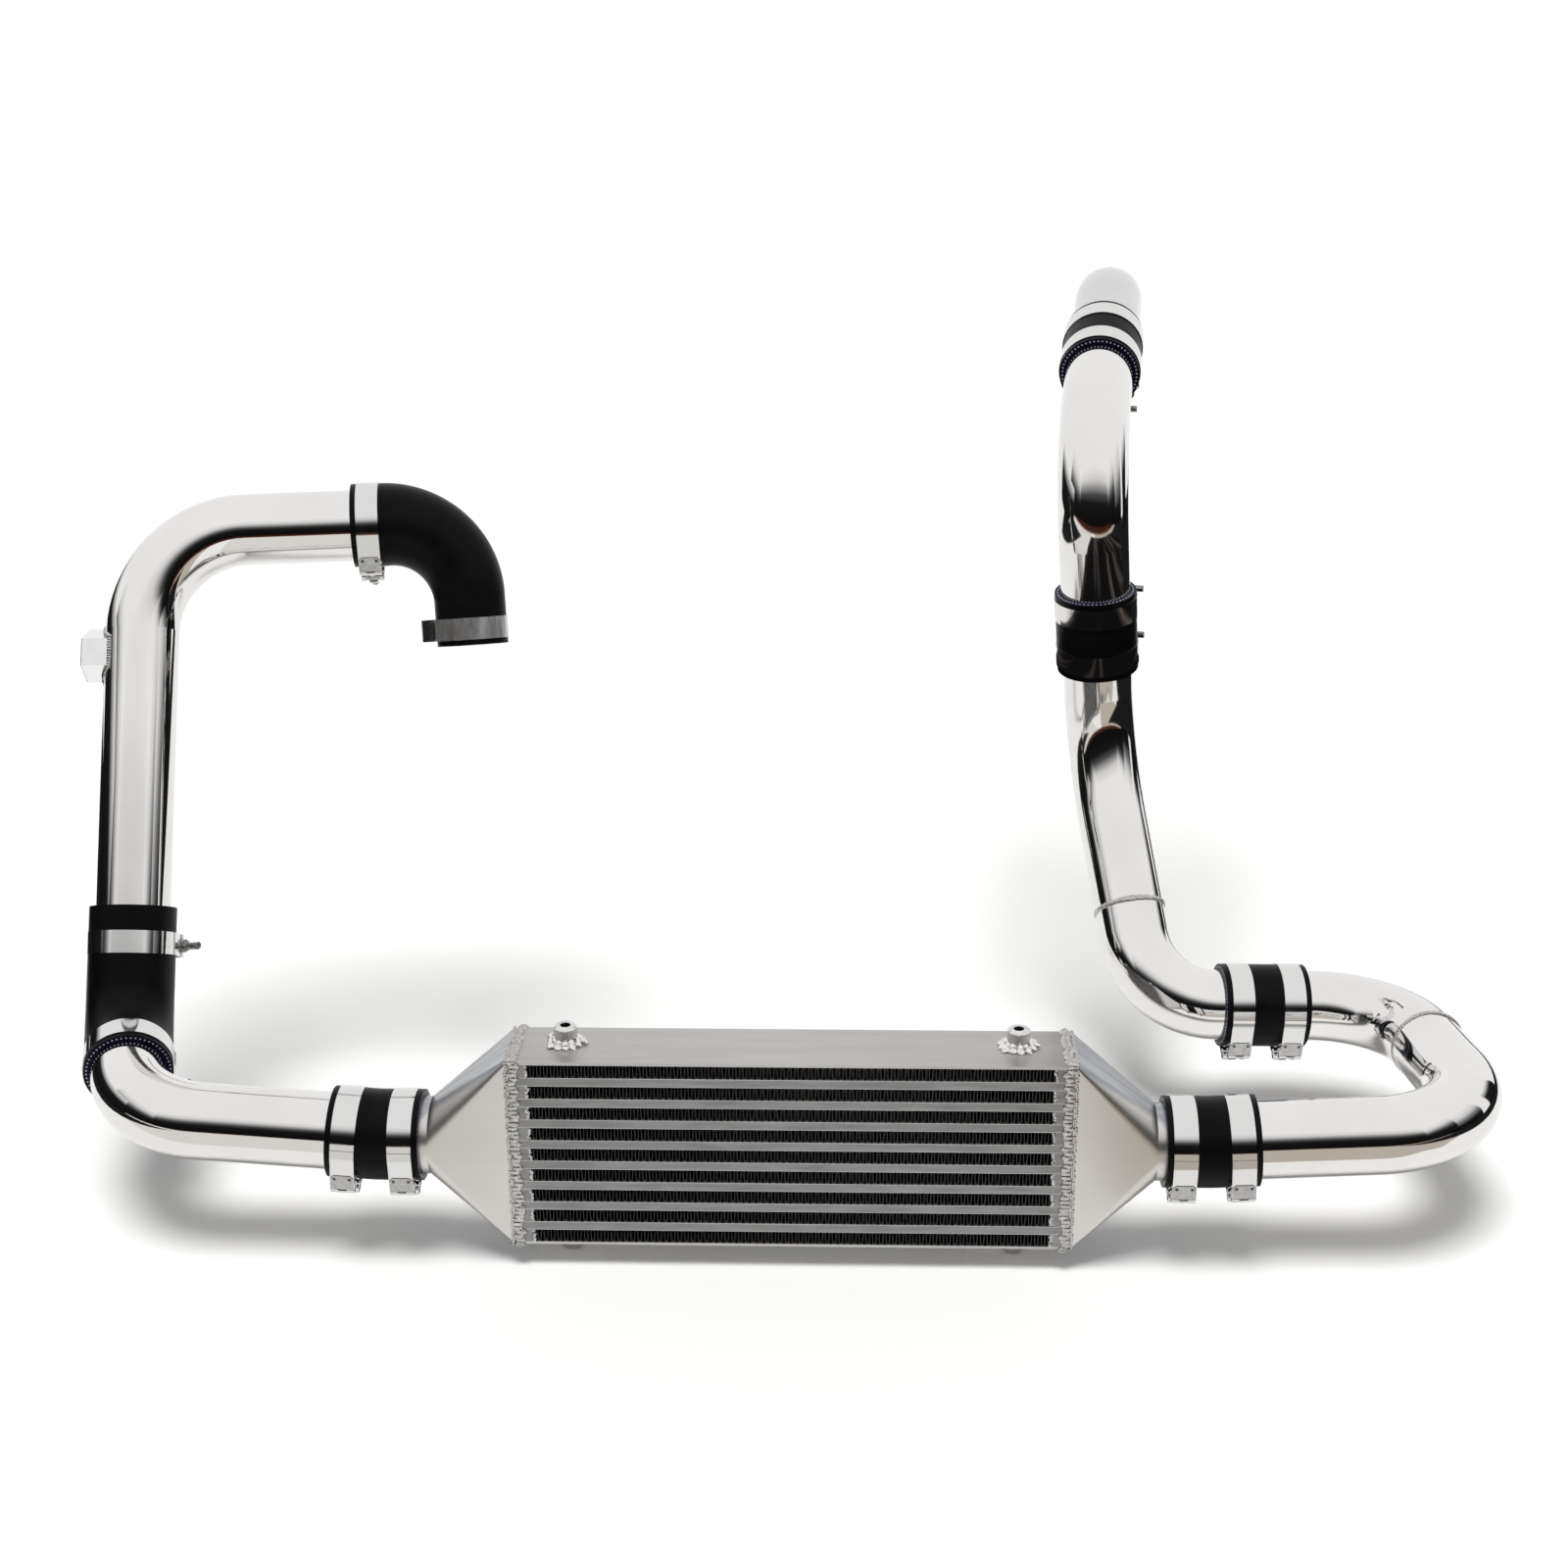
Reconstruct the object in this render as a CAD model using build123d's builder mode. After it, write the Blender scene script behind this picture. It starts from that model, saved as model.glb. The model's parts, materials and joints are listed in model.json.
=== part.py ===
from build123d import *
from math import atan2, acos, cos, degrees, pi, radians, sin, tan
import os

os.makedirs("parts", exist_ok=True)

# Front-mount intercooler with its charge pipes, hoses and clamps.
# +X runs along the core, +Y is the back of the kit, +Z is up.
# The origin is the middle of the two bottom bosses' faces.

# Pipes and hoses
pipe_od = 63.5
pipe_wall = 2.0
hose_wall = 5.3
hose_fit = 0.15         # between a pipe and the hose's bore
coupler_length = 76.0
pipe_gap = 8.0          # between the two ends inside a coupler
weld_rise = 1.3         # how proud the ring welds stand
weld_width = 5.0
bead_round = 0.55       # share of a bead's rise that its chamfers take
flex_share = 0.95       # share of the gap between two pipes over which a coupler flexes
reducer_id = 53.2       # bore at the free end of the reducing elbow
reducer_stations = 6    # sections that shape its bend

# Clamps
band_width = 19.5
band_sheet = 0.8
band_fit = 0.1          # between hose and band
band_inset = 5.0        # from a hose's rim to its band
barrel_od = 8.0         # cross barrels that the band's ends loop round
barrel_fit = 0.1
barrel_inset = 0.5      # from the band's edge to a barrel's end
loop_spread = 10.5      # each barrel's distance from the middle of the opening
loop_rise = 1.0
bolt_od = 6.0
bolt_fit = 0.15
slot_width = 8.4        # the bolt's slot in its loop
slot_room = 0.6         # over and under the bolt there
slot_corner = 1.5
nut_room = 0.8          # round the nut, in its side's slot
thread_out = 15.0       # bolt that stands out past its nut
nut_flats = 10.0
nut_height = 6.0
nut_seat = 0.05         # nut to its barrel
lap_angle = 11.0        # doubled band end, in degrees round the hose
bridge_sheet = 0.6
bridge_clear = 11.5     # degrees from a band's tangent point to the bridge's end

# Core
core_depth = 63.5
core_height = 166.0
fin_span = 424.0        # between the end bars
end_bar_width = 14.0
plate_thickness = 2.4
sheet_thickness = 0.6   # parting sheets
charge_rows = 8
charge_bar_height = 6.4
charge_bar_depth = 6.0
fin_metal = 0.3
fin_inset = 0.5         # air fins stand back from the bars' faces
air_fold_count = 50
charge_fold_count = 10
fin_seat = 0.05         # between a fin's crests and its sheets
fin_end_room = 0.6      # from the last fold to the bar beside it

# Tanks
tank_wall = 3.0
tank_strip = 3.0        # straight edge of the tank beside the core
tank_taper = 66.0
tank_corner = 4.0
tank_inner_corner = 1.0
neck_flat = 1.0         # flat left where the tank runs into the round neck
neck_length = 41.0
core_weld_width = 11.0
core_weld_over = 2.0    # part of it that lies on the tank
core_weld_rise = 1.8

# Bosses
boss_od = 18.7
boss_height = 19.5      # under the core
top_boss_height = 15.5
top_boss_back = 5.0     # behind the middle of the core's top
boss_chamfer = 1.6
boss_weld_room = 15.5   # from the core's end weld to a boss's weld
boss_thread = 8.5
boss_thread_depth = 14.0
boss_weld_od = 37.0
boss_weld_height = 5.0
boss_weld_hollow = 1.0  # how far the fillet's face sags

# Sensor boss on the left riser
sensor_flats = 41.6
sensor_length = 16.5    # past the pipe's surface
sensor_thread = 25.0
sensor_room = 0.5       # the pipe's hole is this much larger all round
sensor_chamfer = 0.8
sensor_weld = 4.0
weld_fit = 0.02         # between the riser or the hexagon and what is welded on
sensor_station = 270.0  # from the riser pipe's lower end

# Left run: each leg's length, heading (azimuth, elevation) and bend radius
left_arm = 208.0
left_arm_rise = 4.0
left_elbow_radius = 80.0
left_elbow_leg = 128.5
left_elbow_heading = (104.5, 9.0)
elbow_hose_radius = 69.5
elbow_hose_top = 104.0
elbow_hose_grip = 31.0  # lower pipe held in the elbow hose
elbow_hose_top_grip = 46.0
elbow_top_inset = 22.0  # from the elbow hose's upper rim to its clamp
left_riser_leg = 439.0
left_riser_heading = (91.3, 62.0)
left_riser_radius = 94.5
left_top_leg = 282.0
left_top_heading = (7.0, 0.5)
reducer_radius = 71.0
reducer_grip = 26.0
reducer_rim_leg = 98.5  # from the reducing elbow's rim to its corner
reducer_drop = 111.0
reducer_heading = (-76.0, -74.0)

# Right run
right_arm = 236.0
right_arm_rise = 3.0
u_front_radius = 88.5
u_front_leg = 167.5
u_cross_heading = (98.0, -2.5)
u_rear_leg = 88.5
u_rear_radius = 81.5
u_return = 121.5
u_return_heading = (-176.0, 2.0)
riser_foot_leg = 103.5
riser_foot_radius = 70.0
riser_weld_leg = 91.5
riser_heading = (101.0, 46.0)
riser_leg = 159.5
riser_radius = 144.0
riser_top_leg = 127.5
upper_heading = (-127.0, 82.5)
upper_leg = 175.0
upper_radius = 109.0
upper_reach = 172.5
reach_heading = (82.0, 18.0)
top_leg = 190.0
top_radius = 88.0
top_drop = 138.0
top_drop_heading = (90.0, -78.0)

# Sizes that follow from the ones above
pipe_r = pipe_od / 2
hose_bore = pipe_r + hose_fit
hose_r = hose_bore + hose_wall
half_depth = core_depth / 2
core_base = boss_height
core_top = core_base + core_height
core_mid = core_base + core_height / 2
air_rows = charge_rows + 1
stack = core_height - 2 * plate_thickness - charge_rows * (charge_bar_height + 2 * sheet_thickness)
air_height = stack / air_rows
row_pitch = air_height + charge_bar_height + 2 * sheet_thickness
core_half = fin_span / 2 + end_bar_width
core_weld_start = core_half + core_weld_over - core_weld_width
boss_x = core_weld_start - boss_weld_room - boss_weld_od / 2
tank_end = core_half + tank_strip + tank_taper
joint_x = tank_end + neck_length + pipe_gap / 2


def heading(azimuth, elevation):
    """Unit vector of a pipe's run: degrees from +X towards +Y, and above level."""
    a, e = radians(azimuth), radians(elevation)
    return Vector(cos(a) * cos(e), sin(a) * cos(e), sin(e))


def centreline(points, radii):
    """Wire through the corners with a tangent arc at each."""
    with BuildLine() as run:
        if radii:
            FilletPolyline(*points, radius=radii)
        else:
            Line(points[0], points[-1])
    return run.wire()


def across(point, direction):
    """Plane at a point of a run, square to it."""
    side = direction.cross(Vector(0, 0, 1))
    return Plane(origin=point, x_dir=side, z_dir=direction)


def tube(points, radii, outer, inner):
    """Round tube along a run of straight legs and bends."""
    start = across(points[0], (points[1] - points[0]).normalized())
    with BuildPart() as piece:
        with BuildSketch(start):
            Circle(outer)
            Circle(inner, mode=Mode.SUBTRACT)
        sweep(path=centreline(points, radii))
    return piece.part


def ring(point, direction, outer, inner, width):
    """Short collar round a run, rounded at its crown, such as a ring weld."""
    with BuildPart() as collar:
        with BuildSketch(across(point, direction).offset(-width / 2)):
            Circle(outer)
            Circle(inner, mode=Mode.SUBTRACT)
        extrude(amount=width)
        crown = collar.edges().filter_by(GeomType.CIRCLE).group_by(lambda e: e.radius)[-1]
        chamfer(crown, min(outer - inner, width / 2) * bead_round)
    return collar.part


def save(part, label):
    part.label = label
    export_step(part, f"parts/{label}.step")


def save_group(solids, label):
    save(Compound(children=list(solids)), label)


# The core's end and side plates, bars and sheets
with BuildPart(Plane.XY.offset(core_base)) as bottom_plate:
    Box(2 * core_half, core_depth, plate_thickness, align=(Align.CENTER, Align.CENTER, Align.MIN))
save(bottom_plate.part, "core_bottom_plate")

with BuildPart(Plane.XY.offset(core_top - plate_thickness)) as top_plate:
    Box(2 * core_half, core_depth, plate_thickness, align=(Align.CENTER, Align.CENTER, Align.MIN))
save(top_plate.part, "core_top_plate")


def air_floor(row):
    """Height of the underside of an air row, counted from the bottom."""
    return core_base + plate_thickness + row * row_pitch


def charge_floor(row):
    """Height of the underside of a charge row, on its lower sheet."""
    return air_floor(row) + air_height + sheet_thickness


sheets = []
charge_bars = []
for row in range(charge_rows):
    for level in (charge_floor(row) - sheet_thickness, charge_floor(row) + charge_bar_height):
        with BuildPart(Plane.XY.offset(level)) as sheet:
            Box(2 * core_half, core_depth, sheet_thickness, align=(Align.CENTER, Align.CENTER, Align.MIN))
        sheets.append(sheet.part.solid())
    for side in (-1, 1):
        bar_y = side * (half_depth - charge_bar_depth / 2)
        with BuildPart(Plane.XY.offset(charge_floor(row))) as bar:
            with Locations((0, bar_y)):
                Box(2 * core_half, charge_bar_depth, charge_bar_height,
                    align=(Align.CENTER, Align.CENTER, Align.MIN))
        charge_bars.append(bar.part.solid())
save_group(sheets, "core_parting_sheets")
save_group(charge_bars, "core_charge_bars")

end_bars = []
for row in range(air_rows):
    for side in (-1, 1):
        with BuildPart(Plane.XY.offset(air_floor(row))) as end_bar:
            with Locations((side * (core_half - end_bar_width / 2), 0)):
                Box(end_bar_width, core_depth, air_height,
                    align=(Align.CENTER, Align.CENTER, Align.MIN))
        end_bars.append(end_bar.part.solid())
save_group(end_bars, "core_end_bars")


def folded_strip(plane, span, height, folds, length):
    """Sheet folded to and fro between two levels, open along its length."""
    half_fold = span / (2 * folds)
    half_metal = fin_metal * (half_fold ** 2 + height ** 2) ** 0.5 / (2 * half_fold)
    crest = height / 2 - fin_seat - half_metal
    middle = [(-span / 2 + k * half_fold, crest if k % 2 else -crest) for k in range(2 * folds + 1)]
    outline = [(x, y + half_metal) for x, y in middle] + [(x, y - half_metal) for x, y in reversed(middle)]
    with BuildPart() as strip:
        with BuildSketch(plane):
            Polygon(*outline, align=None)
        extrude(amount=length / 2, both=True)
    return strip.part


air_fin_span = fin_span - 2 * fin_end_room
for row in range(air_rows):
    fin_plane = Plane(origin=(0, 0, air_floor(row) + air_height / 2), x_dir=(1, 0, 0), z_dir=(0, -1, 0))
    fins = folded_strip(fin_plane, air_fin_span, air_height, air_fold_count, core_depth - 2 * fin_inset)
    save(fins, f"air_fins_{row + 1}")

charge_fins = []
charge_fin_span = core_depth - 2 * (charge_bar_depth + fin_end_room)
for row in range(charge_rows):
    level = charge_floor(row) + charge_bar_height / 2
    fin_plane = Plane(origin=(0, 0, level), x_dir=(0, 1, 0), z_dir=(1, 0, 0))
    fins = folded_strip(fin_plane, charge_fin_span, charge_bar_height, charge_fold_count, 2 * core_half)
    charge_fins.append(fins.solid())
save_group(charge_fins, "charge_fins")


def tank_solid(side, shrink, neck_shrink):
    """Square-to-round tank, or its inside when shrunk by the wall."""
    strip_end = Plane(origin=(side * (core_half + tank_strip), 0, core_mid), x_dir=(0, 1, 0), z_dir=(side, 0, 0))
    corner = max(tank_corner - shrink, tank_inner_corner)
    mouth = core_depth - 2 * shrink
    rise = core_height - 2 * shrink
    neck = pipe_od - 2 * neck_shrink
    with BuildPart() as body:
        with BuildSketch(strip_end):
            RectangleRounded(mouth, rise, corner)
        with BuildSketch(strip_end.offset(tank_taper)):
            RectangleRounded(neck, neck, (neck - neck_flat) / 2)
        loft(ruled=True)
        with BuildSketch(strip_end.offset(-tank_strip)):
            RectangleRounded(mouth, rise, corner)
        extrude(amount=tank_strip)
    return body.part


def tank(side):
    with BuildPart() as shell:
        add(tank_solid(side, 0, 0))
        add(tank_solid(side, tank_wall, pipe_wall), mode=Mode.SUBTRACT)
    return shell.part


def neck(side):
    """Round stub that the tank's coupler slides on."""
    with BuildPart() as stub:
        with BuildSketch(Plane(origin=(side * tank_end, 0, core_mid), x_dir=(0, 1, 0), z_dir=(side, 0, 0))):
            Circle(pipe_r)
            Circle(pipe_r - pipe_wall, mode=Mode.SUBTRACT)
        extrude(amount=neck_length)
    return stub.part


def core_weld(side):
    """Bead round the joint between the core and a tank."""
    joint = Plane(origin=(side * core_weld_start, 0, core_mid), x_dir=(0, 1, 0), z_dir=(side, 0, 0))
    with BuildPart() as bead:
        with BuildSketch(joint):
            Rectangle(core_depth + 2 * core_weld_rise, core_height + 2 * core_weld_rise)
            Rectangle(core_depth, core_height, mode=Mode.SUBTRACT)
        extrude(amount=core_weld_width)
        ends = bead.faces().filter_by(Axis.X)
        chamfer([end.outer_wire().edges() for end in ends], core_weld_rise * bead_round)
    return bead.part


for side, name in ((-1, "left"), (1, "right")):
    save(tank(side), f"{name}_tank")
    save(neck(side), f"{name}_tank_neck")
save_group([core_weld(side).solid() for side in (-1, 1)], "core_welds")


def boss_foot(side, up):
    """Plane of a boss's foot on the core's top or under it."""
    place = (side * boss_x, top_boss_back, core_top) if up > 0 else (side * boss_x, 0, core_base)
    return Plane(origin=place, x_dir=(1, 0, 0), z_dir=(0, 0, up))


def boss(side, up):
    """Threaded boss welded on the core, its mouth facing up or down."""
    foot = boss_foot(side, up)
    height = top_boss_height if up > 0 else boss_height
    with BuildPart() as stud:
        with BuildSketch(foot):
            Circle(boss_od / 2)
        extrude(amount=height)
        rim = stud.edges().sort_by(lambda e: e.center().Z * up)[-1]
        chamfer(rim, boss_chamfer)
        with Locations(foot.offset(height)):
            Hole(boss_thread / 2, boss_thread_depth)
    return stud.part


def boss_weld(side, up):
    """Fillet bead round a boss's foot."""
    foot = boss_foot(side, up)
    with BuildPart() as bead:
        with BuildSketch(Plane(origin=foot.origin, x_dir=(1, 0, 0), z_dir=(0, -1, 0))):
            with BuildLine():
                base = Line((boss_od / 2, 0), (boss_weld_od / 2, 0))
                slope = SagittaArc(base @ 1, (boss_od / 2, up * boss_weld_height), up * boss_weld_hollow)
                Line(slope @ 1, base @ 0)
            make_face()
        revolve(axis=Axis(foot.origin, (0, 0, 1)))
    return bead.part


for up, level in ((1, "top"), (-1, "bottom")):
    for side, name in ((-1, "left"), (1, "right")):
        save(boss(side, up), f"{level}_boss_{name}")
save_group([boss_weld(side, up).solid() for side in (-1, 1) for up in (-1, 1)], "boss_welds")

# The runs: corners of each pipe's centreline, one joint after another
west = heading(180, 0)
east = heading(0, 0)
half_gap = pipe_gap / 2
grip = (coupler_length - pipe_gap) / 2

left_out = heading(180, left_arm_rise)
left_back = heading(*left_elbow_heading)
left_up = heading(*left_riser_heading)
left_across = heading(*left_top_heading)
left_down = heading(*reducer_heading)
left_joint = Vector(-joint_x, 0, core_mid)
left_corner = left_joint + left_out * left_arm
hose_corner = left_corner + left_back * left_elbow_leg
turn = radians(left_back.get_angle(left_up))
hose_bend_run = elbow_hose_radius * tan(turn / 2)
lower_pipe_end = hose_corner - left_back * hose_bend_run
elbow_hose_start = lower_pipe_end - left_back * elbow_hose_grip
elbow_hose_end = hose_corner + left_up * elbow_hose_top
riser_start = elbow_hose_end - left_up * elbow_hose_top_grip
riser_corner = hose_corner + left_up * left_riser_leg
reducer_corner = riser_corner + left_across * left_top_leg
reducer_start = reducer_corner - left_across * reducer_rim_leg
riser_end = reducer_start + left_across * reducer_grip
reducer_end = reducer_corner + left_down * reducer_drop

right_out = heading(0, right_arm_rise)
u_back = heading(*u_cross_heading)
u_west = heading(*u_return_heading)
riser_up = heading(*riser_heading)
upper_up = heading(*upper_heading)
reach = heading(*reach_heading)
top_down = heading(*top_drop_heading)
right_joint = Vector(joint_x, 0, core_mid)
u_corner_1 = right_joint + right_out * right_arm
u_weld = u_corner_1 + u_back * u_front_leg
u_corner_2 = u_weld + u_back * u_rear_leg
u_joint = u_corner_2 + u_west * u_return
foot_corner = u_joint + u_west * riser_foot_leg
riser_weld = foot_corner + riser_up * riser_weld_leg
riser_bend = riser_weld + riser_up * riser_leg
mid_joint = riser_bend + upper_up * riser_top_leg
upper_bend = mid_joint + upper_up * upper_leg
top_joint = upper_bend + reach * upper_reach
top_bend = top_joint + reach * top_leg
top_end = top_bend + top_down * top_drop

pipe_bore = pipe_r - pipe_wall
pipes = {
    "left_lower_pipe": ([left_joint + left_out * half_gap, left_corner, lower_pipe_end],
                        [left_elbow_radius]),
    "left_riser_pipe": ([riser_start, riser_corner, riser_end], [left_riser_radius]),
    "u_pipe_front": ([right_joint + right_out * half_gap, u_corner_1, u_weld], [u_front_radius]),
    "u_pipe_rear": ([u_weld, u_corner_2, u_joint - u_west * half_gap], [u_rear_radius]),
    "riser_foot_pipe": ([u_joint + u_west * half_gap, foot_corner, riser_weld], [riser_foot_radius]),
    "riser_lower_pipe": ([riser_weld, riser_bend, mid_joint - upper_up * half_gap], [riser_radius]),
    "riser_upper_pipe": ([mid_joint + upper_up * half_gap, upper_bend, top_joint - reach * half_gap],
                         [upper_radius]),
    "top_pipe": ([top_joint + reach * half_gap, top_bend, top_end], [top_radius]),
}
for name, (points, radii) in pipes.items():
    pipes[name] = tube(points, radii, pipe_r, pipe_bore)
    if name != "left_riser_pipe":
        save(pipes[name], name)

# Sensor boss: a hexagon on the side of the left riser, bored through to the pipe
sensor_point = riser_start + left_up * sensor_station
sensor_side = left_up.cross(Vector(0, -1, 0)).normalized()
if sensor_side.X > 0:
    sensor_side = sensor_side * -1
sensor_plane = Plane(origin=sensor_point, x_dir=left_up, z_dir=sensor_side)
sensor_reach = pipe_r + sensor_length
with BuildPart() as bored_riser:
    add(pipes["left_riser_pipe"])
    with BuildSketch(sensor_plane):
        Circle(sensor_thread / 2 + sensor_room)
    extrude(amount=sensor_reach, mode=Mode.SUBTRACT)
save(bored_riser.part, "left_riser_pipe")


def riser_core(extra):
    """Straight rod on the riser's axis, to trim what is welded on the pipe."""
    with BuildPart() as rod:
        with BuildSketch(Plane(origin=sensor_point, z_dir=left_up)):
            Circle(pipe_r + extra)
        extrude(amount=sensor_flats + pipe_r, both=True)
    return rod.part


with BuildPart() as sensor_boss:
    with BuildSketch(sensor_plane):
        RegularPolygon(sensor_flats / 2, 6, major_radius=False)
    extrude(amount=sensor_reach)
    mouth_edges = sensor_boss.faces().sort_by(Axis(sensor_point, sensor_side))[-1].edges()
    chamfer(mouth_edges, sensor_chamfer)
    with BuildSketch(sensor_plane):
        Circle(sensor_thread / 2)
    extrude(amount=sensor_reach, mode=Mode.SUBTRACT)
    add(riser_core(weld_fit), mode=Mode.SUBTRACT)
save(sensor_boss.part, "sensor_boss")

with BuildPart() as sensor_bead:
    with BuildSketch(sensor_plane):
        RegularPolygon(sensor_flats / 2 + sensor_weld, 6, major_radius=False)
        RegularPolygon(sensor_flats / 2 + weld_fit, 6, major_radius=False, mode=Mode.SUBTRACT)
    extrude(amount=pipe_r)
    add(riser_core(sensor_weld), mode=Mode.INTERSECT)
    add(riser_core(weld_fit), mode=Mode.SUBTRACT)

pipe_welds = [
    ring(u_weld, u_back, pipe_r + weld_rise, pipe_r, weld_width).solid(),
    ring(riser_weld, riser_up, pipe_r + weld_rise, pipe_r, weld_width).solid(),
]
pipe_welds += sensor_bead.part.solids()
save_group(pipe_welds, "pipe_welds")


# Hoses
def coupler(joint, before, after):
    """Straight hose over two pipe ends, flexed a little where they don't line up."""
    half = coupler_length / 2
    start = joint - before * half
    end = joint + after * half
    if before == after:
        return tube([start, end], [], hose_r, hose_bore)
    flex = radians(before.get_angle(after))
    radius = half_gap * flex_share / tan(flex / 2)
    return tube([start, joint, end], [radius], hose_r, hose_bore)


save(coupler(left_joint, west, left_out), "left_tank_coupler")
save(coupler(right_joint, east, right_out), "right_tank_coupler")
save(coupler(u_joint, u_west, u_west), "u_pipe_coupler")
save(coupler(mid_joint, upper_up, upper_up), "riser_coupler")
save(coupler(top_joint, reach, reach), "top_coupler")
elbow_hose = tube([elbow_hose_start, hose_corner, elbow_hose_end], [elbow_hose_radius], hose_r, hose_bore)
save(elbow_hose, "elbow_hose")

reducer_turn = radians(left_across.get_angle(left_down))
reducer_run = reducer_radius * tan(reducer_turn / 2)
reducer_bend_start = reducer_corner - left_across * reducer_run
reducer_bend_end = reducer_corner + left_down * reducer_run
reducer_r = reducer_id / 2 + hose_wall


def reducer_form(big, small):
    """Elbow whose round section shrinks evenly round its bend."""
    bend_axis = left_across.cross(left_down).normalized()
    arc = centreline([reducer_start, reducer_corner, reducer_end], reducer_radius).edges()[1]
    with BuildPart() as elbow:
        for k in range(reducer_stations + 1):
            share = k / reducer_stations
            with BuildSketch(Plane(origin=arc @ share, x_dir=bend_axis, z_dir=arc % share)):
                Circle(big + (small - big) * share)
        loft()
        with BuildSketch(Plane(origin=reducer_start, x_dir=bend_axis, z_dir=left_across)):
            Circle(big)
        extrude(amount=(reducer_bend_start - reducer_start).length)
        with BuildSketch(Plane(origin=reducer_bend_end, x_dir=bend_axis, z_dir=left_down)):
            Circle(small)
        extrude(amount=(reducer_end - reducer_bend_end).length)
    return elbow.part


with BuildPart() as reducing_elbow:
    add(reducer_form(hose_r, reducer_r))
    add(reducer_form(hose_bore, reducer_id / 2), mode=Mode.SUBTRACT)
save(reducing_elbow.part, "reducing_elbow")


# T-bolt clamps
def clamp_frame(centre, direction, bolt_side):
    """Plane across the hose whose +Y points at the bolt; the bolt runs along X."""
    out = (bolt_side - direction * bolt_side.dot(direction)).normalized()
    return Plane(origin=centre, x_dir=out.cross(direction), z_dir=direction)


def clamp_sizes(hose_radius):
    """Radii and places that all pieces of one clamp share."""
    ring_r = hose_radius + band_fit
    loop_r = barrel_od / 2 + barrel_fit + band_sheet
    bolt_y = ring_r + band_sheet + loop_rise + loop_r
    lap_r = ring_r + 2 * band_sheet
    reach_to_loop = (loop_spread ** 2 + bolt_y ** 2) ** 0.5
    lean = degrees(atan2(bolt_y, loop_spread) - acos((lap_r - loop_r) / reach_to_loop))
    return ring_r, loop_r, bolt_y, lap_r, lean


def band(plane, hose_radius):
    """Strip round the hose with its ends doubled back round two barrels."""
    ring_r, loop_r, bolt_y, lap_r, lean = clamp_sizes(hose_radius)
    with BuildPart() as strip:
        with BuildSketch(plane.offset(-band_width / 2)):
            Circle(ring_r + band_sheet)
            Circle(ring_r, mode=Mode.SUBTRACT)
            far = 2 * ring_r
            a = radians(lean)
            Polygon((0, 0), (far * cos(a), far * sin(a)), (0, 2 * far), (-far * cos(a), far * sin(a)),
                    align=None, mode=Mode.SUBTRACT)
            for side in (-1, 1):
                n = Vector(side * cos(a), sin(a))
                centre = Vector(side * loop_spread, bolt_y)
                foot = n * lap_r
                head = centre + n * loop_r
                inward = n * (2 * band_sheet)
                Polygon(tuple(foot)[:2], tuple(head)[:2], tuple(head - inward)[:2],
                        tuple(foot - inward)[:2], align=None)
                with Locations((centre.X, centre.Y)):
                    Circle(loop_r)
                b = a - radians(lap_angle)
                pie = Polygon((0, 0), (side * far * cos(a), far * sin(a)), (side * far * cos(b), far * sin(b)),
                              align=None, mode=Mode.PRIVATE)
                lap = (Circle(lap_r, mode=Mode.PRIVATE) - Circle(ring_r, mode=Mode.PRIVATE)) & pie
                add(lap)
            with Locations((-loop_spread, bolt_y), (loop_spread, bolt_y)):
                Circle(barrel_od / 2 + barrel_fit, mode=Mode.SUBTRACT)
        extrude(amount=band_width)
        bolt_line = Plane(origin=plane.from_local_coords((0, bolt_y, 0)), x_dir=plane.z_dir, z_dir=plane.x_dir)
        with BuildSketch(bolt_line):
            RectangleRounded(slot_width, bolt_od + 2 * slot_room, slot_corner)
        extrude(amount=-(loop_spread + loop_r), mode=Mode.SUBTRACT)
        nut_corner = nut_flats / cos(pi / 6)
        with BuildSketch(bolt_line):
            Rectangle(nut_corner + nut_room, nut_corner + nut_room)
        extrude(amount=loop_spread + loop_r + nut_height + thread_out, mode=Mode.SUBTRACT)
    return strip.part


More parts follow.
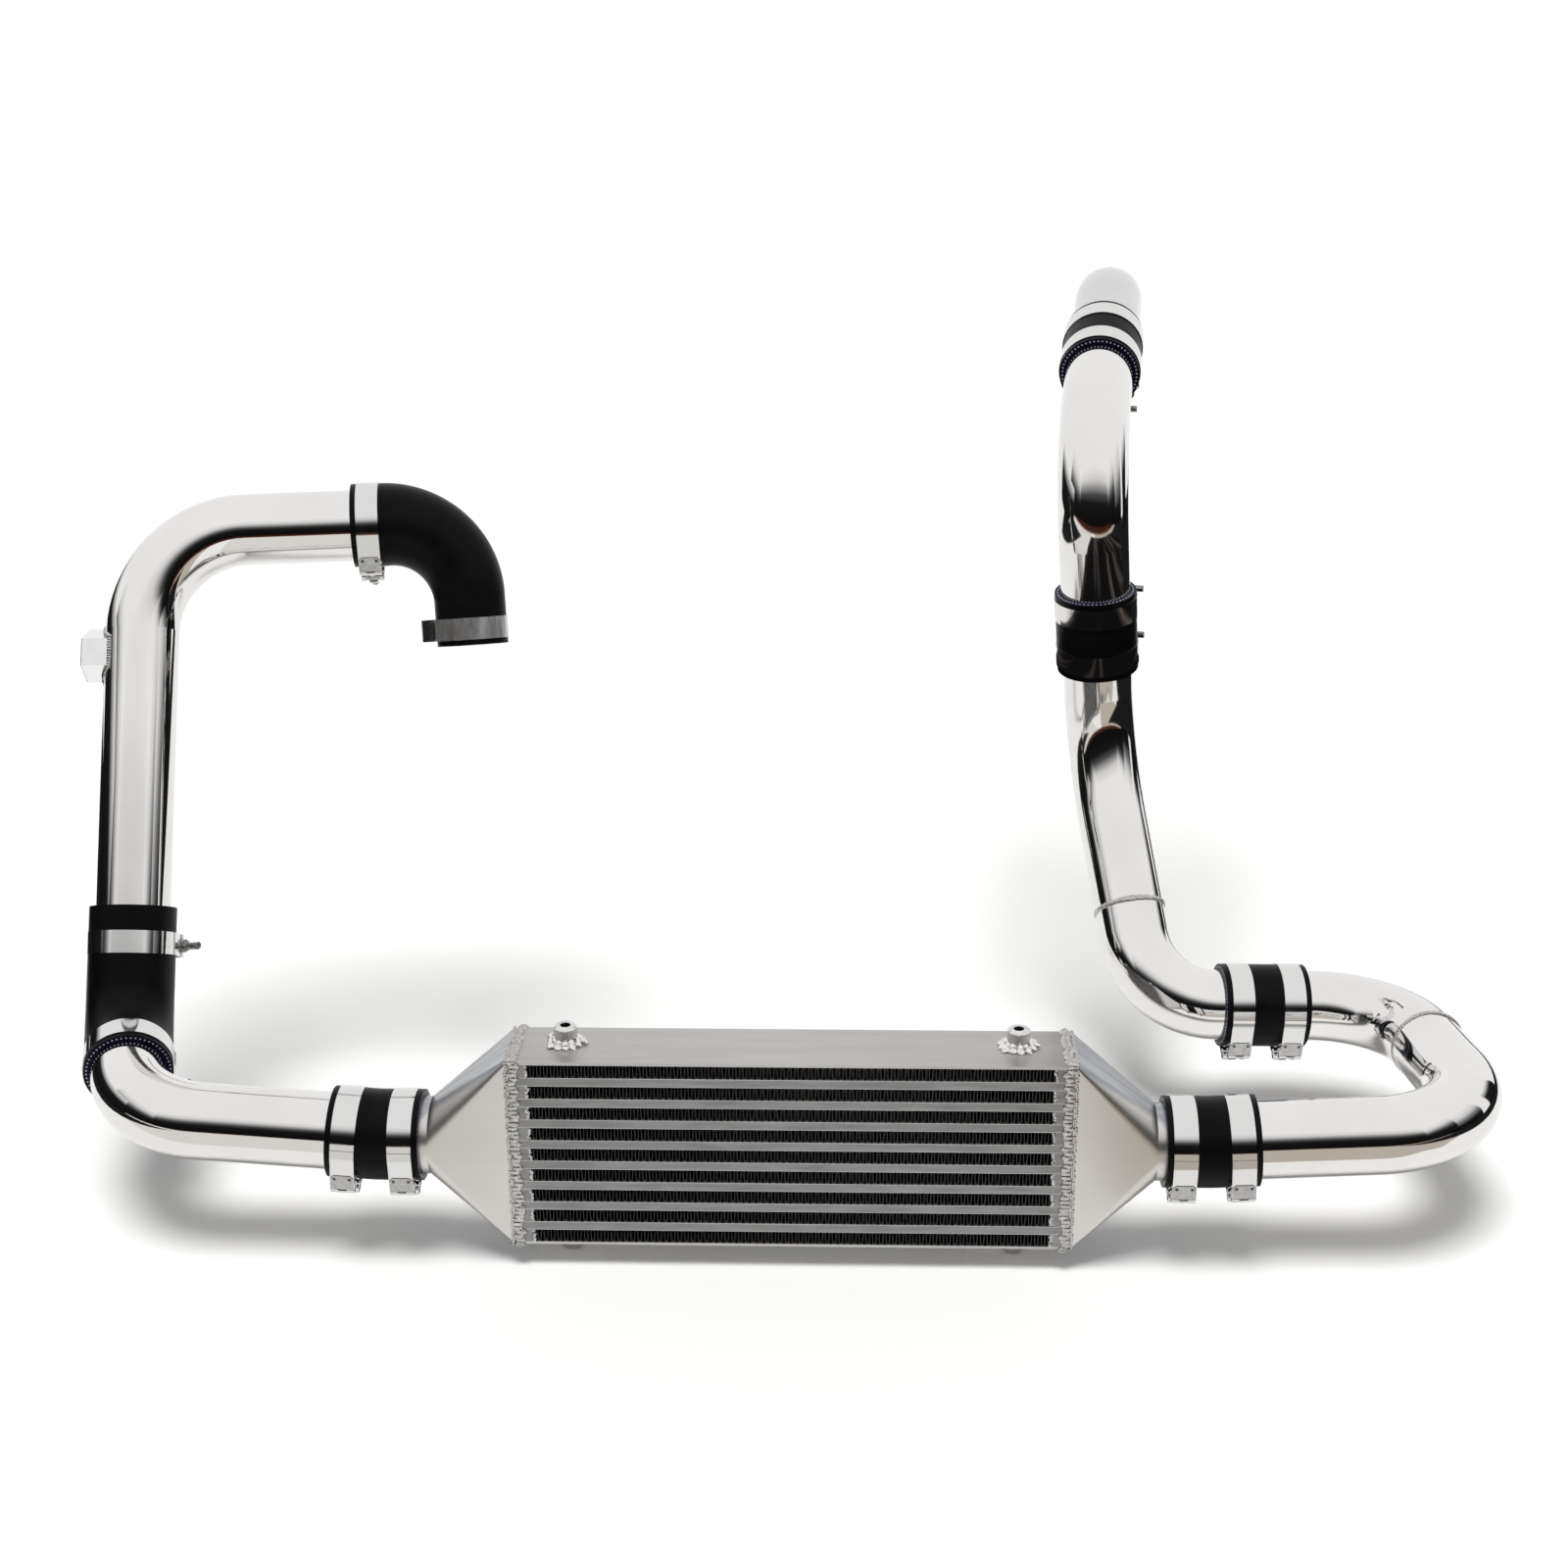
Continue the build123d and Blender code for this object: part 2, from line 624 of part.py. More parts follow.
def bolt_set(plane, hose_radius):
    """T-bolt, far barrel, locknut and bridge of one clamp."""
    ring_r, _, bolt_y, _, lean = clamp_sizes(hose_radius)
    bolt_centre = plane.from_local_coords((0, bolt_y, 0))
    barrel_length = band_width - 2 * barrel_inset
    nut_start = loop_spread + barrel_od / 2 + nut_seat
    barrels = {}
    for side in (-1, 1):
        foot = plane.from_local_coords((side * loop_spread, bolt_y, -barrel_length / 2))
        barrels[side] = Plane(origin=foot, x_dir=plane.x_dir, z_dir=plane.z_dir)
    along = Plane(origin=bolt_centre, x_dir=plane.z_dir, z_dir=plane.x_dir)
    with BuildPart() as t_bolt:
        with BuildSketch(barrels[-1]):
            Circle(barrel_od / 2)
        extrude(amount=barrel_length)
        with BuildSketch(along.offset(-loop_spread)):
            Circle(bolt_od / 2)
        extrude(amount=loop_spread + nut_start + nut_height + thread_out)
    with BuildPart() as far_barrel:
        with BuildSketch(barrels[1]):
            Circle(barrel_od / 2)
        extrude(amount=barrel_length)
        with BuildSketch(along):
            Circle(bolt_od / 2 + bolt_fit)
        extrude(amount=nut_start, mode=Mode.SUBTRACT)
    with BuildPart() as nut:
        with BuildSketch(along.offset(nut_start)):
            RegularPolygon(nut_flats / 2, 6, major_radius=False)
            Circle(bolt_od / 2 + bolt_fit, mode=Mode.SUBTRACT)
        extrude(amount=nut_height)
    with BuildPart() as bridge:
        with BuildSketch(plane.offset(-band_width / 2)):
            far = 2 * ring_r
            b = radians(lean + bridge_clear)
            pie = Polygon((0, 0), (far * cos(b), far * sin(b)), (0, 2 * far), (-far * cos(b), far * sin(b)),
                          align=None, mode=Mode.PRIVATE)
            disc = Circle(ring_r + bridge_sheet, mode=Mode.PRIVATE) - Circle(ring_r, mode=Mode.PRIVATE)
            add(disc & pie)
        extrude(amount=band_width)
    return t_bolt.part, far_barrel.part, nut.part, bridge.part


rim_to_band = band_inset + band_width / 2
clamp_list = []

# The side of the hose where each clamp's bolt lies
under = Vector(0, 0, -1)
front_low = Vector(0, -0.55, -1)
right_low = Vector(0.4, 0, -1)
behind_riser = Vector(0.3, 1, 0)
behind_elbow = Vector(0.5, 1, 0)


def clamp_pair(name, joint, before, after, bolt_side):
    """The two clamps of a straight coupler."""
    reach_back = coupler_length / 2 - rim_to_band
    clamp_list.append((f"{name}_clamp_1", joint - before * reach_back, before, bolt_side, hose_r))
    clamp_list.append((f"{name}_clamp_2", joint + after * reach_back, after, bolt_side, hose_r))


clamp_pair("left_coupler", left_joint, west, left_out, front_low)
clamp_pair("right_coupler", right_joint, right_out * -1, west, front_low)
clamp_pair("u_coupler", u_joint, u_west, u_west, front_low)
clamp_pair("riser_coupler", mid_joint, upper_up, upper_up, behind_riser)
clamp_pair("top_coupler", top_joint, reach, reach, under)
clamp_list += [
    ("elbow_clamp_1", elbow_hose_end - left_up * (elbow_top_inset + band_width / 2), left_up, behind_elbow,
     hose_r),
    ("elbow_clamp_2", elbow_hose_start + left_back * rim_to_band, left_back, right_low, hose_r),
    ("reducer_clamp_1", reducer_start + left_across * rim_to_band, left_across * -1, front_low, hose_r),
    ("reducer_clamp_2", reducer_end - left_down * rim_to_band, left_down * -1, west, reducer_r),
]

bolts, barrels, nuts, bridges = [], [], [], []
for name, centre, direction, bolt_side, hose_radius in clamp_list:
    frame = clamp_frame(centre, direction, bolt_side)
    save(band(frame, hose_radius), name)
    t_bolt, far_barrel, nut, bridge = bolt_set(frame, hose_radius)
    bolts.append(t_bolt.solid())
    barrels.append(far_barrel.solid())
    nuts.append(nut.solid())
    bridges.append(bridge.solid())
save_group(bolts, "clamp_t_bolts")
save_group(barrels, "clamp_barrels")
save_group(nuts, "clamp_locknuts")
save_group(bridges, "clamp_bridges")
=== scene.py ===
import json
import math
import random

import bmesh
import bpy
from mathutils import Matrix, Vector


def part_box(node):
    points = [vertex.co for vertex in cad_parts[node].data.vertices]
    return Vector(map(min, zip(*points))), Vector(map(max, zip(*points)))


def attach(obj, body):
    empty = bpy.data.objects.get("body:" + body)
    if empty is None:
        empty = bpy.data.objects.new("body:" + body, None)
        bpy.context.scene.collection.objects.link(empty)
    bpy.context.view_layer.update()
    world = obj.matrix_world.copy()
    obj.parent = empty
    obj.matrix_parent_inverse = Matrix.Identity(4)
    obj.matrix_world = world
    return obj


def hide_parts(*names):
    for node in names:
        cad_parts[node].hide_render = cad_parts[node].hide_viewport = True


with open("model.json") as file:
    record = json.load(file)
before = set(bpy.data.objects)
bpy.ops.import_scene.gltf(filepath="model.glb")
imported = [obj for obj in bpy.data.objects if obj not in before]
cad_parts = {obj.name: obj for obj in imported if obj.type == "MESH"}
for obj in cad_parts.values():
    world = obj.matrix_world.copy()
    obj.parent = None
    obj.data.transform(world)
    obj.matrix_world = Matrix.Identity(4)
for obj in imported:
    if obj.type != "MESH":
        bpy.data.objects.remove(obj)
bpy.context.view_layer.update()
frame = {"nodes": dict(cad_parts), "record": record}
mm = 0.001
bodyName = "root"

# Camera, at the photograph's place
cameraSpec = {
    "place": (0.0515, -1.7245, 1.058),
    "pitch": 20.53,          # degrees below level
    "yaw": -1.863,           # degrees, turned to the left
    "roll": 0.367,
    "focalPixels": 2431.0,
    "framePixels": 1600.0,
    "sensor": 36.0,
    "clip": (0.05, 100),
}


def makeCamera(spec):
    data = bpy.data.cameras.new("photoCamera")
    data.sensor_width = spec["sensor"]
    data.lens = spec["focalPixels"] / spec["framePixels"] * spec["sensor"]
    data.clip_start, data.clip_end = spec["clip"]
    camera = bpy.data.objects.new("photoCamera", data)
    turn = (Matrix.Rotation(math.radians(-spec["yaw"]), 4, "Z")
            @ Matrix.Rotation(math.radians(90 - spec["pitch"]), 4, "X")
            @ Matrix.Rotation(math.radians(-spec["roll"]), 4, "Z"))
    camera.matrix_world = Matrix.Translation(spec["place"]) @ turn
    bpy.context.scene.collection.objects.link(camera)
    bpy.context.scene.camera = camera


makeCamera(cameraSpec)
bpy.context.scene.view_settings.view_transform = "Standard"
print("camera placed")


class Signal:
    # a socket that shader maths can be written with

    def __init__(self, finish, socket):
        self.finish = finish
        self.socket = socket

    def maths(self, operation, first, second=0.0):
        return self.finish.node("ShaderNodeMath", {"operation": operation}, {0: first, 1: second})

    def __add__(self, other):
        return self.maths("ADD", self, other)

    __radd__ = __add__

    def __mul__(self, other):
        return self.maths("MULTIPLY", self, other)

    __rmul__ = __mul__

    def __sub__(self, other):
        return self.maths("SUBTRACT", self, other)

    def __rsub__(self, other):
        return self.maths("SUBTRACT", other, self)

    def __gt__(self, other):
        return self.maths("GREATER_THAN", self, other)

    def __lt__(self, other):
        return self.maths("LESS_THAN", self, other)


class Finish:
    # one material: a Principled shader and the nodes that feed it

    def __init__(self, name, constants):
        self.material = bpy.data.materials.new(name)
        self.material.use_nodes = True
        self.tree = self.material.node_tree
        self.tree.nodes.clear()
        self.shader = self.tree.nodes.new("ShaderNodeBsdfPrincipled")
        self.output = self.tree.nodes.new("ShaderNodeOutputMaterial")
        self.tree.links.new(self.shader.outputs[0], self.output.inputs["Surface"])
        for key, value in constants.items():
            self.shader.inputs[key].default_value = value

    def node(self, kind, settings=None, inputs=None, output=0):
        made = self.tree.nodes.new(kind)
        for key, value in (settings or {}).items():
            if key == "stops":
                while len(made.color_ramp.elements) < len(value):
                    made.color_ramp.elements.new(1.0)
                for element, (place, level) in zip(made.color_ramp.elements, value):
                    element.position = place
                    element.color = (level, level, level, 1)
            else:
                setattr(made, key, value)
        for key, value in (inputs or {}).items():
            if isinstance(value, Signal):
                self.tree.links.new(value.socket, made.inputs[key])
            else:
                made.inputs[key].default_value = value
        return Signal(self, made.outputs[output])

    def feed(self, key, signal):
        self.tree.links.new(signal.socket, self.shader.inputs[key])

    def place(self):
        return self.node("ShaderNodeTexCoord", output="Object")

    def coordinate(self, axis):
        return self.node("ShaderNodeSeparateXYZ", {}, {"Vector": self.place()}, axis)

    def noise(self, scale, detail=3.0, rough=0.55, stretch=(1, 1, 1)):
        spot = self.node("ShaderNodeMapping", {}, {"Vector": self.place(), "Scale": stretch})
        return self.node("ShaderNodeTexNoise", {}, {"Vector": spot, "Scale": scale, "Detail": detail,
                                                    "Roughness": rough})

    def ramp(self, signal, *stops):
        return self.node("ShaderNodeValToRGB", {"stops": stops}, {"Fac": signal})

    def blend(self, mask, low, high):
        # by number, because the Mix node's sockets for colours share their names with others
        return self.node("ShaderNodeMix", {"data_type": "RGBA"}, {0: mask, 6: low, 7: high}, 2)

    def roughen(self, amount, limits):
        smooth, dull = limits
        self.feed("Roughness", smooth + (dull - smooth) * amount)

    def bump(self, height, strength, depth):
        self.feed("Normal", self.node("ShaderNodeBump", {}, {"Strength": strength, "Distance": depth,
                                                             "Height": height}))


def grey(level, warm=0.0):
    # a light warm grey for warm above 0
    return (level * (1 + warm), level, level * (1 - warm), 1)


# Stops of colour ramps that several finishes share, as (place, level)
evenStops = ((0.3, 0.0), (0.7, 1.0))
cloudStops = ((0.35, 0.0), (0.7, 1.0))

# What all bare metals share, the stops of the beads' painted shade in their hollows among them
metalGrain = {"detail": 4.0, "coarse": 0.6, "stretch": (1, 1, 1), "cloudShare": 0.1, "cloudDetail": 2.0,
              "hollowShadeStops": ((0.16, 0.0), (0.5, 1.0))}
# What changes from one bare metal to the next
metalLooks = {
    "polishedPipe": {"low": grey(0.77, 0.018), "high": grey(0.84, 0.012), "rough": (0.04, 0.10),
                     "spots": 9.0, "bump": 0.03, "depth": 0.5 * mm},
    # painted shade: the top pipe is the polished pipe's metal painted darker
    "endPipeShaded": {"low": grey(0.66, 0.004), "high": grey(0.72, 0.002), "rough": (0.10, 0.18),
                "spots": 9.0, "bump": 0.03, "depth": 0.5 * mm},
    "corePlate": {"low": grey(0.47, 0.022), "high": grey(0.54, 0.020), "rough": (0.30, 0.42),
                  "spots": 70.0, "stretch": (0.10, 1, 1), "bump": 0.04, "depth": 0.2 * mm},
    "coreBar": {"low": grey(0.22, 0.0), "high": grey(0.31, 0.0), "rough": (0.32, 0.44),
                "spots": 260.0, "stretch": (0.12, 1, 1), "bump": 0.06, "depth": 0.2 * mm},
    "machinedBoss": {"low": grey(0.60, 0.01), "high": grey(0.84, 0.01), "rough": (0.10, 0.22),
                     "spots": 260.0, "stretch": (0.3, 0.3, 1), "bump": 0.05, "depth": 0.1 * mm},
    "weldBead": {"low": grey(0.38, 0.03), "high": grey(0.64, 0.02), "rough": (0.18, 0.38),
                 "spots": 420.0, "bump": 0.3, "depth": 0.25 * mm,
                 # colour of the painted shade in the hollows between ripples
                 "hollowShade": (0.085, 0.068, 0.055, 1)},
    "sensorHex": {"low": grey(0.86, 0.0), "high": grey(0.92, 0.0), "rough": (0.20, 0.26),
                  "spots": 900.0, "bump": 0.02, "depth": 0.05 * mm},
    "bossWeld": {"low": grey(0.68, 0.02), "high": grey(0.92, 0.01), "rough": (0.08, 0.24),
                 "spots": 260.0, "bump": 0.2, "depth": 0.25 * mm,
                 # colour of the painted shade in the hollows between ripples
                 "hollowShade": (0.045, 0.032, 0.024, 1)},
    "clampSteel": {"low": grey(0.72, 0.010), "high": grey(0.76, 0.008), "rough": (0.05, 0.11),
                   "spots": 900.0, "bump": 0.02, "depth": 0.05 * mm},
    # painted highlight: the loose band is the clamps' steel painted lighter
    "looseBandLit": {"low": grey(0.50, 0.014), "high": grey(0.98, 0.012), "rough": (0.26, 0.34),
                  "spots": 110.0, "stretch": (1, 1, 0.05), "bump": 0.02, "depth": 0.05 * mm},
    # painted shade: the doubled band ends are the clamps' steel, painted darker
    "lapSteelShaded": {"low": grey(0.36, 0.01), "high": grey(0.52, 0.01), "rough": (0.14, 0.24),
                 "spots": 220.0, "bump": 0.03, "depth": 0.1 * mm},
    "boltSteel": {"low": grey(0.30, 0.02), "high": grey(0.55, 0.015), "rough": (0.16, 0.34),
                  "spots": 500.0, "bump": 0.06, "depth": 0.1 * mm},
    # dark, for the spot welds and for the painted gap shadow round the doubled band ends
    "weldSpotAndGapShade": {"low": grey(0.06, 0.02), "high": grey(0.16, 0.02), "rough": (0.3, 0.5),
                 "spots": 600.0, "bump": 0.1, "depth": 0.1 * mm},
    "innerFin": {"low": grey(0.45), "high": grey(0.6), "rough": (0.4, 0.5),
                 "spots": 200.0, "bump": 0.05, "depth": 0.1 * mm},
}


def makeMetal(name, look):
    look = {**metalGrain, **look}
    finish = Finish(name, {"Metallic": 1.0})
    mottle = finish.noise(look["spots"], look["detail"], look["coarse"], look["stretch"])
    clouds = finish.noise(look["spots"] * look["cloudShare"], look["cloudDetail"])
    colour = finish.blend(finish.ramp(mottle, *evenStops), look["low"], look["high"])
    if "hollowShade" in look:
        # beads carry how deep each spot lies between its ripples, and are painted darker there, as painted shade
        hollow = finish.node("ShaderNodeAttribute", {"attribute_name": "hollow"}, output="Fac")
        colour = finish.blend(finish.ramp(hollow, *look["hollowShadeStops"]), colour, look["hollowShade"])
    finish.feed("Base Color", colour)
    finish.roughen(finish.ramp(clouds, *cloudStops), look["rough"])
    finish.bump(mottle, look["bump"], look["depth"])
    return finish.material


metals = {name: makeMetal(name, look) for name, look in metalLooks.items()}

# Tanks: warm satin sides, with brushed slopes above and below that are painted darker and cooler, as painted shade
tankLook = {
    "side": (grey(0.63, 0.035), grey(0.68, 0.035)),
    # the slopes' darker, cooler colour is painted shade
    "slope": ((0.27, 0.285, 0.31, 1), (0.56, 0.57, 0.59, 1)),
    "rough": (0.28, 0.36),
    "spots": 60.0,
    "sideGrain": (3.0, 0.6, (0.05, 1, 0.3)),         # detail, coarseness, stretch
    "slopeGrain": (5.0, 0.7, (0.12, 1.6, 0.12)),
    "strip": 3 * mm,                                 # flat strip beside the weld
    "soft": 5 * mm,                                  # width over which side turns into slope
    "softStops": ((0.1, 0.0), (0.8, 1.0)),
}


def makeTankFinish(look):
    tankLow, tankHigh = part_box("right_tank")
    neckRise = (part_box("right_tank_neck")[1].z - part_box("right_tank_neck")[0].z) / 2
    middle = (tankLow.z + tankHigh.z) / 2
    rise = (tankHigh.z - tankLow.z) / 2
    start = tankLow.x + look["strip"]
    fall = (rise - neckRise) / (tankHigh.x - start)
    finish = Finish("tankSheet", {"Metallic": 1.0})
    x = finish.coordinate("X")
    z = finish.coordinate("Z") - middle
    reach = z.maths("ABSOLUTE", z) + fall * (x.maths("ABSOLUTE", x) - start)
    onSlope = finish.ramp((reach - (rise - look["soft"])) * (1 / look["soft"]), *look["softStops"])
    grain = finish.noise(look["spots"], *look["sideGrain"])
    brush = finish.noise(look["spots"], *look["slopeGrain"])
    side = finish.blend(finish.ramp(grain, *evenStops), *look["side"])
    # the slopes get a darker, cooler colour, as painted shade
    slope = finish.blend(finish.ramp(brush, *cloudStops), *look["slope"])
    finish.feed("Base Color", finish.blend(onSlope, side, slope))
    finish.roughen(grain, look["rough"])
    return finish.material


metals["tankSheet"] = makeTankFinish(tankLook)

# Black coat of the folded fins, with a painted highlight along their front and back edges
finCoat = {"low": grey(0.006), "high": grey(0.022), "edgeHighlight": grey(0.11, 0.04), "rough": 0.42, "shine": 0.25,
           "spots": 700.0, "detail": 3.0, "stops": ((0.4, 0.0), (0.75, 1.0)), "edge": 0.9 * mm,
           "bump": (0.2, 0.1 * mm)}


def makeFinCoat(spec):
    low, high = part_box("air_fins_1")          # all rows are equally deep
    finish = Finish("finCoat", {"Roughness": spec["rough"], "Specular IOR Level": spec["shine"]})
    speck = finish.ramp(finish.noise(spec["spots"], spec["detail"]), *spec["stops"])
    depth = finish.coordinate("Y")
    atEdge = (depth < low.y + spec["edge"]) + (depth > high.y - spec["edge"])
    colour = finish.blend(speck, spec["low"], spec["high"])
    # the lighter front and back edges are a painted highlight
    finish.feed("Base Color", finish.blend(atEdge, colour, spec["edgeHighlight"]))
    finish.bump(speck, *spec["bump"])
    return finish.material


blackCoat = makeFinCoat(finCoat)
print("metals ready")


parallel = 0.99          # least cosine between normals that count as parallel
sameSpot = 1e-6          # vertices of a CAD mesh nearer than this are one
sameTurn = 1e-7          # and those of a turned shape


def flatGroups(mesh, fewest=6, step=0.1 * mm):
    # planar patches of a mesh that have several triangles: (area, normal, centre), largest first
    groups = {}
    for face in mesh.polygons:
        offset = face.normal.dot(face.center)
        key = (*(round(share, 2) for share in face.normal), round(offset / step))
        groups.setdefault(key, []).append(face)
    found = []
    for faces in groups.values():
        if len(faces) >= fewest:
            area = sum(face.area for face in faces)
            normal = sum((face.normal * face.area for face in faces), Vector()).normalized()
            centre = sum((face.center * face.area for face in faces), Vector()) / area
            found.append((area, normal, centre))
    return sorted(found, key=lambda item: -item[0])


def looseMeshes(node):
    # the solids of a CAD node, each as a mesh of its own
    whole = bmesh.new()
    whole.from_mesh(frame["nodes"][node].data)
    bmesh.ops.remove_doubles(whole, verts=whole.verts, dist=sameSpot)
    whole.verts.index_update()
    seen = set()
    meshes = []
    for start in whole.verts:
        if start.index in seen:
            continue
        stack = [start]
        seen.add(start.index)
        faces = set()
        while stack:
            vert = stack.pop()
            faces.update(vert.link_faces)
            for edge in vert.link_edges:
                other = edge.other_vert(vert)
                if other.index not in seen:
                    seen.add(other.index)
                    stack.append(other)
        part = bmesh.new()
        copies = {}
        for face in faces:
            for vert in face.verts:
                if vert not in copies:
                    copies[vert] = part.verts.new(vert.co)
            part.faces.new([copies[vert] for vert in face.verts])
        part.normal_update()
        mesh = bpy.data.meshes.new("scratch")
        part.to_mesh(mesh)
        part.free()
        meshes.append(mesh)
    whole.free()
    return meshes


# Hoses: each has its clamps and two cut ends
hoses = ["left_tank_coupler", "right_tank_coupler", "u_pipe_coupler", "riser_coupler", "top_coupler",
         "elbow_hose", "reducing_elbow"]
hoseRims = {name: flatGroups(frame["nodes"][name].data)[:2] for name in hoses}

hoseLook = {
    "rubber": (0.0022, 0.0021, 0.0025, 1),
    "worn": (0.0050, 0.0048, 0.0058, 1),
    "rimBlue": (0.004, 0.005, 0.020, 1),
    "fibre": grey(0.42),
    "rough": (0.26, 0.46),
    "shine": 0.07,
    "wall": 5.3 * mm,
    "rimDepth": 0.35 * mm,
    "fibreRadius": 0.85 * mm,
    "fibreCount": 56,
    "skin": (420.0, 4.0, 0.6),         # scale, detail, coarseness
    "clouds": (22.0, 2.0),
    "bump": (0.18, 0.25 * mm),
}


def makeHoseFinish(name, rims, look):
    finish = Finish("silicone_" + name, {"Specular IOR Level": look["shine"]})
    clouds = finish.noise(*look["clouds"])
    colour = finish.blend(finish.ramp(clouds, *cloudStops), look["rubber"], look["worn"])
    spot = finish.place()

    def along(offset, direction):
        return finish.node("ShaderNodeVectorMath", {"operation": "DOT_PRODUCT"}, {0: offset, 1: direction[:]},
                           "Value")

    for area, axis, centre in rims:
        middle = area / (2 * math.pi * look["wall"])      # radius of the wall's middle
        side = axis.orthogonal().normalized()
        up = axis.cross(side)
        away = finish.node("ShaderNodeVectorMath", {"operation": "SUBTRACT"}, {0: spot, 1: centre[:]})
        onCut = along(away, axis) > -look["rimDepth"]
        across = along(away, side)
        rise = along(away, up)
        turn = across.maths("ARCTAN2", across, rise) * (look["fibreCount"] / (2 * math.pi))
        nearest = turn.maths("FRACT", turn) - 0.5
        radius = across.maths("SQRT", across * across + rise * rise)
        step = 2 * math.pi * middle / look["fibreCount"]
        offLine = radius - middle
        reach = nearest * nearest * step * step + offLine * offLine
        fibre = (reach < look["fibreRadius"] ** 2) * onCut
        colour = finish.blend(onCut, colour, look["rimBlue"])
        colour = finish.blend(fibre, colour, look["fibre"])
    finish.feed("Base Color", colour)
    finish.roughen(clouds, look["rough"])
    finish.bump(finish.noise(*look["skin"]), *look["bump"])
    return finish.material


hoseFinishes = {name: makeHoseFinish(name, rims, hoseLook) for name, rims in hoseRims.items()}
print("hoses ready")

# Which finish each CAD node gets, by the start or the end of its name
plainNodes = {
    "core_top_plate": "corePlate", "core_bottom_plate": "corePlate", "core_parting_sheets": "corePlate",
    "core_charge_bars": "coreBar", "core_end_bars": "coreBar", "charge_fins": "innerFin",
    "left_tank": "tankSheet", "right_tank": "tankSheet",
    # reducer_clamp_2 gets the clamp steel painted lighter, as a painted highlight
    "left_tank_neck": "tankSheet", "right_tank_neck": "tankSheet", "reducer_clamp_2": "looseBandLit",
    # top_pipe gets the polished pipe's metal painted darker, as painted shade
    "sensor_boss": "sensorHex", "top_pipe": "endPipeShaded",
    "clamp_t_bolts": "boltSteel", "clamp_barrels": "boltSteel", "clamp_locknuts": "boltSteel",
}


def finishFor(node):
    if node in hoseFinishes:
        return hoseFinishes[node]
    if node in plainNodes:
        return metals[plainNodes[node]]
    if node.startswith("air_fins"):
        return blackCoat
    if node.endswith("_welds"):
        return metals["weldBead"]
    if "_boss" in node:
        return metals["machinedBoss"]
    if "clamp" in node:
        return metals["clampSteel"]
    return metals["polishedPipe"]


for node, thing in frame["nodes"].items():
    thing.data.materials.clear()
    thing.data.materials.append(finishFor(node))
print("CAD pieces finished")


def addPiece(name, mesh, material, replaces=(), sharp=35):
    piece = bpy.data.objects.new(name, mesh)
    bpy.context.scene.collection.objects.link(piece)
    mesh.materials.clear()
    mesh.materials.append(material)
    mesh.polygons.foreach_set("use_smooth", [True] * len(mesh.polygons))
    mesh.set_sharp_from_angle(angle=math.radians(sharp))
    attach(piece, bodyName)
    if replaces:
        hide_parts(*replaces)
    return piece


# Air fins: thin folded sheet, waved along its depth and a little uneven
finSheet = {"pitch": 5.5 * mm, "metal": 0.26 * mm, "slices": 8, "wave": 0.25 * mm, "waveLength": 11 * mm,
            "bend": 0.06 * mm, "lean": 0.08, "seed": 4}


def makeFins(node, spec, chance):
    low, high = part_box(node)
    pleats = round((high.x - low.x) / spec["pitch"])
    pitch = (high.x - low.x) / pleats
    # stations of a pleat: foot, bent wall, crest, crest, bent wall, foot
    places = [0.0, spec["lean"] / 2, spec["lean"], 0.5, 0.5 + spec["lean"] / 2, 0.5 + spec["lean"]]
    levels = [-1, 0, 1, 1, 0, -1]
    stations = len(levels) * pleats
    bends = [chance.uniform(-spec["bend"], spec["bend"]) for wall in range(2 * pleats + 2)]
    sheet = bmesh.new()
    bmesh.ops.create_grid(sheet, x_segments=stations, y_segments=spec["slices"], size=0.5)
    halfRise = (high.z - low.z) / 2 - spec["metal"] / 2
    lastWall = high.x - spec["metal"]
    for vert in sheet.verts:
        station = round((vert.co.x + 0.5) * stations)
        pleat, phase = divmod(station, len(levels))
        depth = low.y + (vert.co.y + 0.5) * (high.y - low.y)
        x = low.x + spec["metal"] + (pleat + places[phase]) * pitch
        if levels[phase] == 0:
            x += bends[2 * pleat + (phase >= len(levels) // 2)]
        x += spec["wave"] * math.sin(2 * math.pi * depth / spec["waveLength"])
        vert.co = (min(max(x, low.x + spec["metal"]), lastWall), depth, (low.z + high.z) / 2 + levels[phase] * halfRise)
    bmesh.ops.recalc_face_normals(sheet, faces=sheet.faces)
    mesh = bpy.data.meshes.new("sheet_" + node)
    sheet.to_mesh(mesh)
    sheet.free()
    piece = addPiece("finSheet_" + node[-1], mesh, blackCoat, (node,))
    wall = piece.modifiers.new("wall", "SOLIDIFY")
    wall.thickness = spec["metal"]
    wall.offset = 0


finRows = [f"air_fins_{row}" for row in range(1, 10)]
finChance = random.Random(finSheet["seed"])
for node in finRows:
    makeFins(node, finSheet, finChance)
print("fins folded")


# Puddles of a bead, and how the hollows between them are found
puddle = {"subdivisions": 2, "vary": (0.86, 1.14), "rounds": 3, "lift": 0.1}
allSmooth = 180          # degrees


def markHollows(mesh, size):
    # how far each vertex lies below the mean of those round it, as an attribute of the mesh; the beads' finish paints
    # shade by it
    shape = bmesh.new()
    shape.from_mesh(mesh)
    shape.normal_update()
    level = {vert: vert.co.copy() for vert in shape.verts}
    for turn in range(puddle["rounds"]):
        level = {vert: sum((level[edge.other_vert(vert)] for edge in vert.link_edges), Vector())
                 / len(vert.link_edges) for vert in shape.verts}
    depths = [(level[vert] - vert.co).dot(vert.normal) / size + puddle["lift"] for vert in shape.verts]
    shape.free()
    mesh.attributes.new("hollow", "FLOAT", "POINT").data.foreach_set("value", depths)


